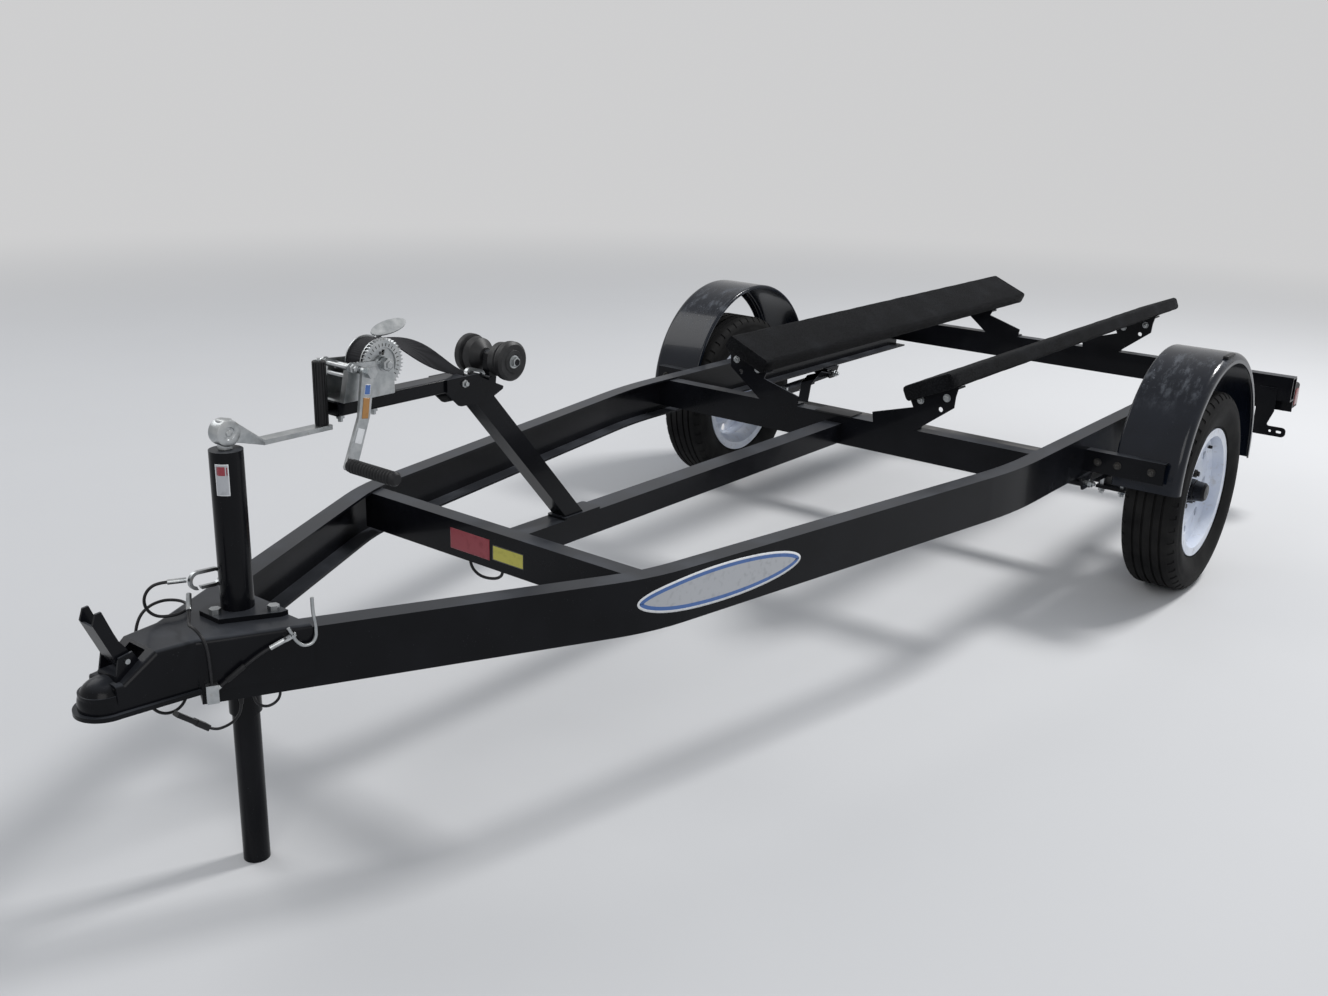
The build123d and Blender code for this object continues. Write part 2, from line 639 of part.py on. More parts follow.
# Ratchet lever: an oval thumb plate on a leg outside the far plate
TAB_Y = DRUM_Y + 66
TAB_Z = DRUM_Z + 43
with BuildPart() as pawl:
    with BuildSketch(Plane(origin=(-WINCH_INNER_HALF - 6, TAB_Y, TAB_Z), x_dir=(0, 0.985, 0.17), z_dir=(0.6, -0.136, 0.788))):
        Ellipse(38, 13.5)
    extrude(amount=3)
    with BuildSketch(Plane.YZ.offset(-WINCH_INNER_HALF - WINCH_PLATE - 3)):
        with BuildLine():
            Polyline((DRUM_Y + 2, DRUM_Z - 8), (DRUM_Y + 17, DRUM_Z - 8), (TAB_Y - 10, TAB_Z - 3),
                     (TAB_Y - 24, TAB_Z - 5), close=True)
        make_face()
    extrude(amount=3)
write(pawl, "winch_pawl")

# Strap from the reel to the bow eye hook
HOOK_LENGTH = 48.0
HOOK_WIDTH = 24.0
HOOK_BAR = 6.0
HOOK_PIN_Y = ROLLER_Y - 27.0
HOOK_PIN_Z = ARM_TOP - 12.0
HOOK_TILT = -16.0
HOOK_Y = HOOK_PIN_Y + (4.3 - HOOK_LENGTH / 2 + HOOK_BAR) * cos(radians(HOOK_TILT))
HOOK_Z = HOOK_PIN_Z + (4.3 - HOOK_LENGTH / 2 + HOOK_BAR) * sin(radians(HOOK_TILT))
STRAP_END_Y = HOOK_Y - (HOOK_LENGTH / 2 - 3) * cos(radians(HOOK_TILT))
STRAP_END_Z = HOOK_Z - (HOOK_LENGTH / 2 - 3) * sin(radians(HOOK_TILT)) - 1.2
STRAP_HALF = REEL_HALF - 4.0
STRAP_FALL = atan2(DRUM_Z + COIL_RADIUS - STRAP_END_Z, STRAP_END_Y - DRUM_Y)
with BuildPart() as strap:
    with BuildSketch(Plane.YZ):
        with BuildLine():
            Polyline(
                (DRUM_Y + (COIL_RADIUS + 0.3) * sin(STRAP_FALL), DRUM_Z + (COIL_RADIUS + 0.3) * cos(STRAP_FALL)),
                (DRUM_Y + (COIL_RADIUS + 2.8) * sin(STRAP_FALL), DRUM_Z + (COIL_RADIUS + 2.8) * cos(STRAP_FALL)),
                (STRAP_END_Y, STRAP_END_Z + 2.5),
                (STRAP_END_Y, STRAP_END_Z),
                close=True,
            )
        make_face()
    extrude(amount=STRAP_HALF, both=True)
write(strap, "strap_run")

# Snap hook on the bracket's pin, in the slot between the rollers
with BuildPart() as strap_hook:
    with BuildSketch(Plane.YZ):
        with Locations(Location((HOOK_Y, HOOK_Z), HOOK_TILT)):
            SlotOverall(HOOK_LENGTH, HOOK_WIDTH)
            SlotOverall(HOOK_LENGTH - 2 * HOOK_BAR, HOOK_WIDTH - 2 * HOOK_BAR, mode=Mode.SUBTRACT)
        with Locations((STRAP_END_Y, STRAP_END_Z + 1.2)):
            Rectangle(8, 4.5, mode=Mode.SUBTRACT)
    extrude(amount=3.5, both=True)
write(strap_hook, "strap_hook")

# Bow rollers on a bracket bolted to the end of the arm
SIDE_PLATE = 5.0
SIDE_INNER = ARM_WIDTH / 2
ROLLER_GAP = 12.0
BRACKET_FRONT_Y = FRONT_CROSS_Y - 120.0
with BuildPart() as roller_bracket:
    with BuildSketch(Plane.YZ.offset(-SIDE_INNER - SIDE_PLATE)):
        with BuildLine():
            FilletPolyline(
                (BRACKET_FRONT_Y, ARM_TOP - 0.5),
                (BRACKET_FRONT_Y, ARM_BOTTOM),
                (BRACKET_FRONT_Y + 30, ARM_BOTTOM - 28),
                (ROLLER_Y - 32, ARM_BOTTOM - 30),
                (ROLLER_Y + 8, ARM_BOTTOM - 13),
                (ROLLER_Y + 10, ARM_BOTTOM - 8),
                (ROLLER_Y - 48, ARM_TOP - 7),
                (ROLLER_Y - 54, ARM_TOP - 0.5),
                radius=[3, 8, 12, 2, 2, 3],
            )
            Line((ROLLER_Y - 54, ARM_TOP - 0.5), (BRACKET_FRONT_Y, ARM_TOP - 0.5))
        make_face()
    extrude(amount=2 * (SIDE_INNER + SIDE_PLATE))
    with BuildSketch(Plane.YZ):
        with BuildLine():
            Polyline((BRACKET_FRONT_Y - 9, ARM_BOTTOM - 60), (ROLLER_Y - 11, ARM_BOTTOM - 60),
                     (ROLLER_Y - 11, ARM_BOTTOM - 17), (ROLLER_Y + 6, ARM_BOTTOM - 9.5), (ROLLER_Y + 12, ARM_TOP + 40),
                     (BRACKET_FRONT_Y - 9, ARM_TOP + 40), close=True)
        make_face()
    extrude(amount=SIDE_INNER, both=True, mode=Mode.SUBTRACT)
    # upright between the rollers
    with BuildSketch(Plane.YZ):
        with BuildLine():
            Polyline((ROLLER_Y - 10, ARM_BOTTOM - 19), (ROLLER_Y + 5, ARM_BOTTOM - 12), (ROLLER_Y + 12, ROLLER_Z),
                     (ROLLER_Y - 12, ROLLER_Z), close=True)
        make_face()
        with Locations((ROLLER_Y, ROLLER_Z)):
            Circle(12)
    extrude(amount=ROLLER_GAP - 4, both=True)
    with BuildSketch(Plane.YZ.offset(-ROLLER_GAP - ROLLER_WIDTH - 9)):
        with Locations((ROLLER_Y, ROLLER_Z)):
            Circle(ROLLER_BORE - 0.4)
    extrude(amount=2 * (ROLLER_GAP + ROLLER_WIDTH + 9))
    # pin for the strap's hook
    with BuildSketch(Plane.YZ.offset(-SIDE_INNER - SIDE_PLATE - 4)):
        with Locations((HOOK_PIN_Y, HOOK_PIN_Z)):
            Circle(4)
    extrude(amount=2 * (SIDE_INNER + SIDE_PLATE + 4))
write(roller_bracket, "roller_bracket")

# Half profile of a roller from its inner end: distance along the axle, radius
roller_profile = [
    (0, 15), (12, 31), (26, 32.5), (28, 29), (31, 29), (33, 35.5), (36, ROLLER_RADIUS), (44, ROLLER_RADIUS),
    (ROLLER_WIDTH, 31), (ROLLER_WIDTH, 15), (ROLLER_WIDTH - 5, 13),
]
for name, side in sides:
    with BuildPart() as roller:
        plane = Plane(origin=(side * ROLLER_GAP, ROLLER_Y, ROLLER_Z), x_dir=(side, 0, 0), z_dir=(0, -side, 0))
        with BuildSketch(plane):
            with BuildLine():
                Polyline((0, ROLLER_BORE), *roller_profile, (ROLLER_WIDTH - 5, ROLLER_BORE), close=True)
            make_face()
        revolve(axis=Axis((0, ROLLER_Y, ROLLER_Z), (1, 0, 0)))
    write(roller, "bow_roller_" + name)

# Bunks: carpeted boards leaning inward
tilt = radians(BUNK_TILT)
for name, side in sides:
    with BuildPart() as bunk:
        with BuildSketch(Plane.XZ.offset(-BUNK_FRONT_Y)):
            with Locations(Location(
                (side * (BUNK_UNDER_X - BUNK_THICK / 2 * sin(tilt)), BUNK_UNDER_Z + BUNK_THICK / 2 * cos(tilt)),
                side * BUNK_TILT,
            )):
                Rectangle(BUNK_WIDTH, BUNK_THICK)
        extrude(amount=-(BUNK_REAR_Y - BUNK_FRONT_Y))
    write(bunk, "bunk_" + name)

# Brackets: name, side, front of the upright plate, top of the cross-member
bunk_brackets = [
    ("bunk_bracket_front_left", 1.0, MIDDLE_CROSS_Y, CROSS_TOP),
    ("bunk_bracket_front_right", -1.0, MIDDLE_CROSS_Y, CROSS_TOP),
    ("bunk_bracket_rear_left", 1.0, RAIL_REAR_Y, REAR_CROSS_TOP),
    ("bunk_bracket_rear_right", -1.0, RAIL_REAR_Y, REAR_CROSS_TOP),
]
HALF_SPAN = BUNK_WIDTH / 2 - 2
FOOT_INNER = 116.0
FOOT_OUTER = 236.0
# Bolt holes from the middle of the bunk's underside: across, up
bracket_holes = [(-72, -40), (-35, -21), (20, -36), (35, -4)]
for name, side, front, foot in bunk_brackets:
    low_x = BUNK_UNDER_X - HALF_SPAN * cos(tilt)
    low_z = BUNK_UNDER_Z - HALF_SPAN * sin(tilt)
    high_x = BUNK_UNDER_X + HALF_SPAN * cos(tilt)
    high_z = BUNK_UNDER_Z + HALF_SPAN * sin(tilt)
    with BuildPart() as bracket:
        with BuildSketch(Plane.XZ.offset(-front)):
            with BuildLine():
                Polyline(
                    (side * FOOT_INNER, foot),
                    (side * FOOT_OUTER, foot),
                    (side * (high_x - 8), high_z - 54),
                    (side * (high_x - 6), high_z - 26),
                    (side * high_x, high_z),
                    (side * low_x, low_z),
                    (side * (low_x + 8), low_z - 16),
                    (side * (FOOT_INNER - 4), foot + 26),
                    close=True,
                )
            make_face()
            with Locations(*[(side * (BUNK_UNDER_X + x), BUNK_UNDER_Z + z) for x, z in bracket_holes]):
                Circle(6.5, mode=Mode.SUBTRACT)
        extrude(amount=-BRACKET_PLATE)
        with BuildSketch(Plane.XZ.offset(-front)):
            half_plate = BRACKET_PLATE / 2
            with Locations(Location(
                (side * (BUNK_UNDER_X + half_plate * sin(tilt)), BUNK_UNDER_Z - half_plate * cos(tilt)), side * BUNK_TILT
            )):
                Rectangle(2 * HALF_SPAN, BRACKET_PLATE)
            with Locations((side * (FOOT_INNER + FOOT_OUTER) / 2, foot + half_plate)):
                Rectangle(FOOT_OUTER - FOOT_INNER, BRACKET_PLATE)
        extrude(amount=-CROSS_DEPTH + 2)
    write(bracket, name)

# Axle, springs and their fastenings
with BuildPart() as axle:
    with BuildSketch(Plane.YZ.offset(-AXLE_HALF)):
        with Locations((AXLE_Y, AXLE_Z)):
            Rectangle(AXLE_SIZE, AXLE_SIZE)
    extrude(amount=2 * AXLE_HALF)
    with BuildSketch(Plane.YZ.offset(-WHEEL_X - 24)):
        with Locations((AXLE_Y, AXLE_Z)):
            Circle(SPINDLE_RADIUS)
    extrude(amount=2 * WHEEL_X + 48)
write(axle, "axle")

LEAF_ARC_RISE = SPRING_EYE_Z - 12 - (LEAF_TOP_Z - LEAF_THICK)
# Leaves of one pack: thickness steps down from the top leaf, half length
leaf_table = [(0, SPRING_REACH), (1, 215.0), (2, 125.0)]
SPRING_ARC = (SPRING_REACH**2 + LEAF_ARC_RISE**2) / (2 * LEAF_ARC_RISE)
with BuildPart() as springs:
    for name, side in sides:
        for step, reach in leaf_table:
            top = LEAF_TOP_Z - step * LEAF_THICK
            low = top - LEAF_THICK
            outer = SPRING_ARC + (step + 1) * LEAF_THICK
            inner = outer - LEAF_THICK
            centre = LEAF_TOP_Z + SPRING_ARC
            with BuildSketch(Plane.YZ.offset(side * SPRING_X - SPRING_WIDTH / 2)):
                with BuildLine():
                    turn = reach / SPRING_ARC
                    low_left = (AXLE_Y - outer * sin(turn), centre - outer * cos(turn))
                    low_right = (AXLE_Y + outer * sin(turn), centre - outer * cos(turn))
                    top_left = (AXLE_Y - inner * sin(turn), centre - inner * cos(turn))
                    top_right = (AXLE_Y + inner * sin(turn), centre - inner * cos(turn))
                    ThreePointArc(low_left, (AXLE_Y, low), low_right)
                    Line(low_right, top_right)
                    ThreePointArc(top_right, (AXLE_Y, top), top_left)
                    Line(top_left, low_left)
                make_face()
            extrude(amount=SPRING_WIDTH)
        with BuildSketch(Plane.YZ.offset(side * SPRING_X - SPRING_WIDTH / 2)):
            with Locations((AXLE_Y - SPRING_REACH, SPRING_EYE_Z), (AXLE_Y + SPRING_REACH, SPRING_EYE_Z)):
                Circle(12)
        extrude(amount=SPRING_WIDTH)
        with BuildSketch(Plane.YZ.offset(side * SPRING_X - SPRING_WIDTH / 2)):
            with Locations((AXLE_Y - SPRING_REACH, SPRING_EYE_Z), (AXLE_Y + SPRING_REACH, SPRING_EYE_Z)):
                Circle(6)
        extrude(amount=SPRING_WIDTH, mode=Mode.SUBTRACT)
write(springs, "leaf_springs")

with BuildPart() as hangers:
    for name, side in sides:
        for end in (-1, 1):
            eye_y = AXLE_Y + end * SPRING_REACH
            with BuildSketch(Plane.YZ.offset(side * SPRING_X - 28)):
                with BuildLine():
                    Polyline((eye_y - 38, RAIL_BOTTOM), (eye_y + 38, RAIL_BOTTOM), (eye_y + 16, SPRING_EYE_Z - 16),
                             (eye_y - 16, SPRING_EYE_Z - 16), close=True)
                make_face()
            extrude(amount=56)
            with BuildSketch(Plane.YZ.offset(side * SPRING_X - 22.5)):
                with Locations((eye_y, RAIL_BOTTOM - 50)):
                    Rectangle(120, 90)
            extrude(amount=45, mode=Mode.SUBTRACT)
            with BuildSketch(Plane.YZ.offset(side * SPRING_X - 28)):
                with Locations((eye_y, SPRING_EYE_Z)):
                    Circle(6)
            extrude(amount=56, mode=Mode.SUBTRACT)
write(hangers, "spring_hangers")

with BuildPart() as spring_bolts:
    for name, side in sides:
        for end in (-1, 1):
            with BuildSketch(Plane.YZ.offset(side * SPRING_X - 36)):
                with Locations((AXLE_Y + end * SPRING_REACH, SPRING_EYE_Z)):
                    Circle(6)
            extrude(amount=72)
write(spring_bolts, "spring_bolts")

U_BOLT = 10.0
U_BOLT_X = SPRING_WIDTH / 2 + 0.5 + U_BOLT / 2
PLATE_TOP = AXLE_Z - AXLE_SIZE / 2
with BuildPart() as spring_plates:
    for name, side in sides:
        with BuildSketch(Plane.XY.offset(PLATE_TOP - 8)):
            with Locations((side * SPRING_X, AXLE_Y)):
                Rectangle(80, 96)
                with GridLocations(2 * U_BOLT_X, 66, 2, 2):
                    Rectangle(U_BOLT, U_BOLT, mode=Mode.SUBTRACT)
        extrude(amount=8)
write(spring_plates, "spring_plates")

with BuildPart() as u_bolts:
    for name, side in sides:
        for end in (-1, 1):
            y = AXLE_Y + end * 33
            with BuildSketch(Plane.XZ.offset(-(y - U_BOLT / 2))):
                with BuildLine():
                    out = U_BOLT_X + U_BOLT / 2
                    into = U_BOLT_X - U_BOLT / 2
                    x = side * SPRING_X
                    low = PLATE_TOP - 24
                    top = LEAF_TOP_Z + 0.4
                    Polyline((x - out, low), (x - into, low), (x - into, top), (x + into, top), (x + into, low),
                             (x + out, low), (x + out, top + U_BOLT), (x - out, top + U_BOLT), close=True)
                make_face()
            extrude(amount=-U_BOLT)
write(u_bolts, "u_bolts")

# Wheels
TYRE_CROWN = WHEEL_RADIUS - RIM_RADIUS      # section height
BEAD_RADIUS = RIM_RADIUS - 16.0
for name, side in sides:
    plane = Plane(origin=(side * WHEEL_X, AXLE_Y, AXLE_Z), x_dir=(side, 0, 0), z_dir=(0, -side, 0))
    wheel_axis = Axis((0, AXLE_Y, AXLE_Z), (1, 0, 0))
    with BuildPart() as tyre:
        with BuildSketch(plane):
            with BuildLine():
                half = TYRE_WIDTH / 2
                bead = RIM_HALF_WIDTH - 5
                wide = RIM_RADIUS + 0.5 * TYRE_CROWN
                Polyline(
                    (-bead, BEAD_RADIUS + 2),
                    (-bead, RIM_RADIUS + 3),
                    (-half, wide),
                    (-half + 4, WHEEL_RADIUS - 22),
                    (-half + 22, WHEEL_RADIUS),
                    (half - 22, WHEEL_RADIUS),
                    (half - 4, WHEEL_RADIUS - 22),
                    (half, wide),
                    (bead, RIM_RADIUS + 3),
                    (bead, BEAD_RADIUS + 2),
                    (bead - 6, BEAD_RADIUS + 2),
                    (half - 12, wide),
                    (half - 22, WHEEL_RADIUS - 17),
                    (-half + 22, WHEEL_RADIUS - 17),
                    (-half + 12, wide),
                    (-bead + 6, BEAD_RADIUS + 2),
                    close=True,
                )
            make_face()
        revolve(axis=wheel_axis)
    write(tyre, "tyre_" + name)
    with BuildPart() as rim:
        with BuildSketch(plane):
            with BuildLine():
                edge = RIM_HALF_WIDTH
                seat = BEAD_RADIUS
                well = RIM_RADIUS - 37.0
                Polyline(
                    (-edge, RIM_RADIUS + 2),
                    (-edge + 4, RIM_RADIUS + 2),
                    (-edge + 5, seat + 2),
                    (-28, seat - 1),
                    (-20, well),
                    (14, well),
                    (24, seat - 1),
                    (edge - 5, seat + 2),
                    (edge - 4, RIM_RADIUS + 2),
                    (edge, RIM_RADIUS + 2),
                    (edge - 1, seat - 3),
                    (27, seat - 5),
                    (17, well - 4),
                    (-22, well - 4),
                    (-edge + 1, seat - 3),
                    close=True,
                )
            make_face()
        revolve(axis=wheel_axis)
        with BuildSketch(plane):
            with BuildLine():
                Polyline((6, 32), (6, 74), (20, 94), (20, well - 3), (15, well - 3), (15, 96), (0, 77), (0, 32),
                         close=True)
            make_face()
        revolve(axis=wheel_axis)
        with BuildSketch(Plane.YZ.offset(side * WHEEL_X - 30)):
            with Locations((AXLE_Y, AXLE_Z)):
                with PolarLocations(112, 8):
                    Circle(12)
        extrude(amount=60, mode=Mode.SUBTRACT)
    write(rim, "rim_" + name)
    with BuildPart() as hub:
        with BuildSketch(plane):
            with BuildLine():
                Polyline((-40, SPINDLE_RADIUS + 1), (-40, 34), (-8, 36), (-8, 66), (0, 66), (0, 31), (32, 29),
                         (34, 26), (34, 0), (26, 0), (26, SPINDLE_RADIUS + 1), close=True)
            make_face()
        revolve(axis=wheel_axis)
        with BuildSketch(plane):
            with BuildLine():
                Polyline((34, 0), (34, 27), (56, 25), (62, 20), (64, 0), close=True)
            make_face()
        revolve(axis=wheel_axis)
    write(hub, "hub_" + name)

# Fenders: one section turned about a level axis, outer edge rolled down, small lip inward
FENDER_SWEEP = FENDER_FRONT_ANGLE - FENDER_REAR_ANGLE
STEP_Z = RAIL_TOP - 36.0
STEP_OUTER_X = FENDER_OUTER_X - 36.0
STEP_REACH = 15.0           # of a step beyond the fender's end
rear_turn = radians(FENDER_REAR_ANGLE)
for name, side in sides:
    with BuildPart() as fender:
        section = Plane(
            origin=(0, FENDER_Y, FENDER_Z), x_dir=(1, 0, 0), z_dir=(0, -sin(rear_turn), cos(rear_turn))
        )
        with BuildSketch(section):
            with BuildLine():
                inner = side * FENDER_INNER_X
                outer = side * FENDER_OUTER_X
                wall = side * FENDER_WALL
                top = FENDER_RADIUS
                FilletPolyline((inner, top - FENDER_INNER_LIP), (inner, top), (outer, top), (outer, top - FENDER_LIP),
                               radius=[6, FENDER_ROUND])
                Line((outer, top - FENDER_LIP), (outer - wall, top - FENDER_LIP))
                FilletPolyline((outer - wall, top - FENDER_LIP), (outer - wall, top - FENDER_WALL),
                               (inner + wall, top - FENDER_WALL), (inner + wall, top - FENDER_INNER_LIP),
                               radius=[FENDER_ROUND - FENDER_WALL, 6 - FENDER_WALL])
                Line((inner + wall, top - FENDER_INNER_LIP), (inner, top - FENDER_INNER_LIP))
            make_face()
        revolve(axis=Axis((0, FENDER_Y, FENDER_Z), (1, 0, 0)), revolution_arc=FENDER_SWEEP)
    write(fender, "fender_" + name)

# Angle brackets from the rails to the fenders: end, thickness, leg down
fender_steps = [(-1, 5.0, 54.0), (1, 5.0, 54.0)]
with BuildPart() as fender_stays:
    for name, side in sides:
        for end, thick, drop in fender_steps:
            tip = FENDER_Y + end * (FENDER_RADIUS + STEP_REACH)
            with BuildSketch(Plane.YZ.offset(FRAME_HALF if side > 0 else -STEP_OUTER_X)):
                with BuildLine():
                    Polyline(
                        (tip, STEP_Z),
                        (tip - end * 60, STEP_Z),
                        (tip - end * 60, STEP_Z - thick),
                        (tip - end * thick, STEP_Z - thick),
                        (tip - end * thick, STEP_Z - drop),
                        (tip, STEP_Z - drop),
                        close=True,
                    )
                make_face()
                with Locations((FENDER_Y, FENDER_Z)):
                    Circle(FENDER_RADIUS, mode=Mode.SUBTRACT)
            extrude(amount=STEP_OUTER_X - FRAME_HALF)
write(fender_stays, "fender_stays")

# Lights behind the rear cross-member's ends, and the plate bracket below it
LIGHT_X = REAR_CROSS_HALF - 52.0
LIGHT_Z = RAIL_TOP - 77.0
LIGHT_PLATE = 4.0
PLATE_BACK_Y = RAIL_REAR_Y + CROSS_DEPTH
for name, side in sides:
    with BuildPart() as light_plate:
        with BuildSketch(Plane.XZ.offset(-PLATE_BACK_Y)):
            with Locations((side * (LIGHT_X - 10), LIGHT_Z + 10)):
                Rectangle(LIGHT_WIDTH + 24, LIGHT_HEIGHT + 28)
        extrude(amount=-LIGHT_PLATE)
    write(light_plate, "light_plate_" + name)
    with BuildPart() as light_box:
        with BuildSketch(Plane.XZ.offset(-(PLATE_BACK_Y + LIGHT_PLATE))):
            with Locations((side * LIGHT_X, LIGHT_Z)):
                RectangleRounded(LIGHT_WIDTH - 6, LIGHT_HEIGHT - 6, 6)
        extrude(amount=-(LIGHT_DEPTH - LENS_THICK))
        with BuildSketch(Plane.XZ.offset(-(PLATE_BACK_Y + LIGHT_PLATE + LIGHT_DEPTH - LENS_THICK))):
            with Locations((side * LIGHT_X, LIGHT_Z)):
                RectangleRounded(LIGHT_WIDTH, LIGHT_HEIGHT, 8)
        extrude(amount=-LENS_THICK)
        # side lens
        with BuildSketch(Plane.YZ.offset(side * (LIGHT_X + LIGHT_WIDTH / 2 - 4) - (3.5 if side < 0 else 0))):
            with Locations((PLATE_BACK_Y + LIGHT_PLATE + 38, LIGHT_Z)):
                RectangleRounded(44, 60, 5)
        extrude(amount=3.5)
    write(light_box, "tail_light_" + name)

PLATE_HOLE_X = REAR_CROSS_HALF - 43.0
PLATE_HOLE_Z = RAIL_TOP - 181.0
with BuildPart() as plate_bracket:
    with BuildSketch(Plane.XZ.offset(-(RAIL_REAR_Y - LIGHT_PLATE))):
        with BuildLine():
            FilletPolyline(
                (PLATE_HOLE_X - 52, RAIL_TOP - 45),
                (PLATE_HOLE_X + 3, RAIL_TOP - 45),
                (PLATE_HOLE_X + 3, PLATE_HOLE_Z + 62),
                (PLATE_HOLE_X - 14, PLATE_HOLE_Z + 15),
                (PLATE_HOLE_X + 46, PLATE_HOLE_Z + 15),
                (PLATE_HOLE_X + 46, PLATE_HOLE_Z - 15),
                (PLATE_HOLE_X - 52, PLATE_HOLE_Z - 15),
                close=True,
                radius=[4, 4, 8, 6, 12, 12, 8],
            )
        make_face()
        with Locations((PLATE_HOLE_X, PLATE_HOLE_Z)):
            Circle(4, mode=Mode.SUBTRACT)
        with Locations((PLATE_HOLE_X + 26, PLATE_HOLE_Z)):
            SlotOverall(16, 8, mode=Mode.SUBTRACT)
    extrude(amount=-LIGHT_PLATE)
write(plate_bracket, "plate_bracket")

# Safety cables and wiring lead, placed from the rails' front ends: across, back, up
CABLE_RADIUS = 2.5
LEAD_RADIUS = 2.25
CLAMP_Y = 11.0
CLAMP_HALF = 9.0
CLAMP_THICK = 12.0
CLAMP_TOP = -66.0
CLAMP_HEIGHT = 30.0
LOOP_RADIUS = 29.0
LOOP_STEP = 30
face_turn = atan2(TONGUE_SLOPE, 1.0)
along_face = Vector(sin(face_turn), cos(face_turn), 0)
out_of_face = Vector(cos(face_turn), -sin(face_turn), 0)
UP = Vector(0, 0, 1)


def side_point(back, out, up):
    """A point beside the coupler's left face."""
    return Vector(tongue_half(TONGUE_Y + back) + COUPLER_WALL, TONGUE_Y + back, RAIL_TOP + up) + out_of_face * out


def tongue_point(across, back, up):
    return Vector(across, TONGUE_Y + back, RAIL_TOP + up)


def bend_radii(points):
    """Arcs that use 0.45 of the shorter of their two runs."""
    radii = []
    for before, here, after in zip(points, points[1:], points[2:]):
        turn = radians((here - before).get_angle(after - here))
        run_length = min((here - before).length, (after - here).length)
        radii.append(0.45 * run_length / tan(turn / 2))
    return radii


# Loops of the far cable: one stands on the coupler, one lies flat, one hangs below
far_end = tongue_point(-44, 17, 67.5)
loop_forward = Vector(-0.468, -0.884, 0)
loop_middle = far_end + loop_forward * 7.4 - UP * 28
standing_loop = [
    loop_middle + loop_forward * LOOP_RADIUS * sin(radians(angle)) + UP * LOOP_RADIUS * cos(radians(angle))
    for angle in range(15, 166, LOOP_STEP)
]
turn_middle = tongue_point(-69, 30, 11.5)
flat_turn = [
    turn_middle + Vector(cos(radians(angle)), sin(radians(angle)), 0) * LOOP_RADIUS + UP * 0.027 * (angle + 13)
    for angle in range(-13, 168, LOOP_STEP)
]
hang_middle = tongue_point(-38, 1, -119.8)
hanging_loop = [
    hang_middle + Vector(-0.0006 * (345 - angle)**2, cos(radians(angle)) * LOOP_RADIUS, sin(radians(angle)) * LOOP_RADIUS)
    for angle in range(195, 346, LOOP_STEP)
]
rail_clamp = Vector(hanging_loop[-1].X, hanging_loop[-1].Y, hanging_loop[-1].Z + 15.3)
clamp_middle = side_point(CLAMP_Y, CLAMP_THICK / 2 + 1, CLAMP_TOP)
gland = tongue_point(54, 66, -112)
routes = {
    # from the left clamp over the coupler towards the far hook
    "safety_cable_over": (CABLE_RADIUS, [
        clamp_middle, clamp_middle + UP * 17, tongue_point(70.6, 6.4, -29), tongue_point(71.2, 4.8, -10.5),
        tongue_point(68.6, 3.3, 4.3), tongue_point(58.9, 1.3, 16), tongue_point(43.9, 1.3, 21.9),
        tongue_point(27.5, 4.6, 19.6), tongue_point(15.5, 11.8, 17), tongue_point(4, 19.3, 20.7),
        tongue_point(-5.5, 26.1, 28.7),
    ]),
    # from the far hook to the clamp under the right rail
    "safety_cable_far": (CABLE_RADIUS, [
        far_end, *standing_loop, *flat_turn,
        tongue_point(-98, 16, 14.5), tongue_point(-98, -1, 5), tongue_point(-96, -12, -12), tongue_point(-92, -18, -34),
        tongue_point(-85, -23, -59), tongue_point(-75, -29, -84), tongue_point(-65.5, -32, -107),
        *hanging_loop, rail_clamp,
    ]),
    # from the left clamp to the near hook
    "safety_cable_near": (CABLE_RADIUS, [
        side_point(22, 7, -70), side_point(34, 7.3, -60), side_point(50, 7, -47.5), side_point(68, 7.3, -33.5),
        side_point(81, 7, -24.5), side_point(90, 7, -20),
    ]),
    # from the gland under the left rail to the plug
    "wiring_lead": (LEAD_RADIUS, [
        gland, gland - UP * 14, tongue_point(51, 64, -142), tongue_point(43, 58, -156), tongue_point(32, 48, -166),
        tongue_point(24, 34, -168.5), tongue_point(20.5, 24, -160.5),
    ]),
}
for name, (radius, points) in routes.items():
    radii = bend_radii(points)
    print(name, "radii", [round(r, 1) for r in radii])
    with BuildPart() as tube:
        with BuildLine() as run:
            FilletPolyline(*points, radius=radii)
        with BuildSketch(Plane(origin=run.line @ 0, z_dir=run.line % 0)):
            Circle(radius)
        sweep(path=run.line)
    print(name, "length", round(sum(e.length for e in run.edges()), 1), "by volume", round(tube.part.volume / (pi * radius**2), 1))
    write(tube, name)

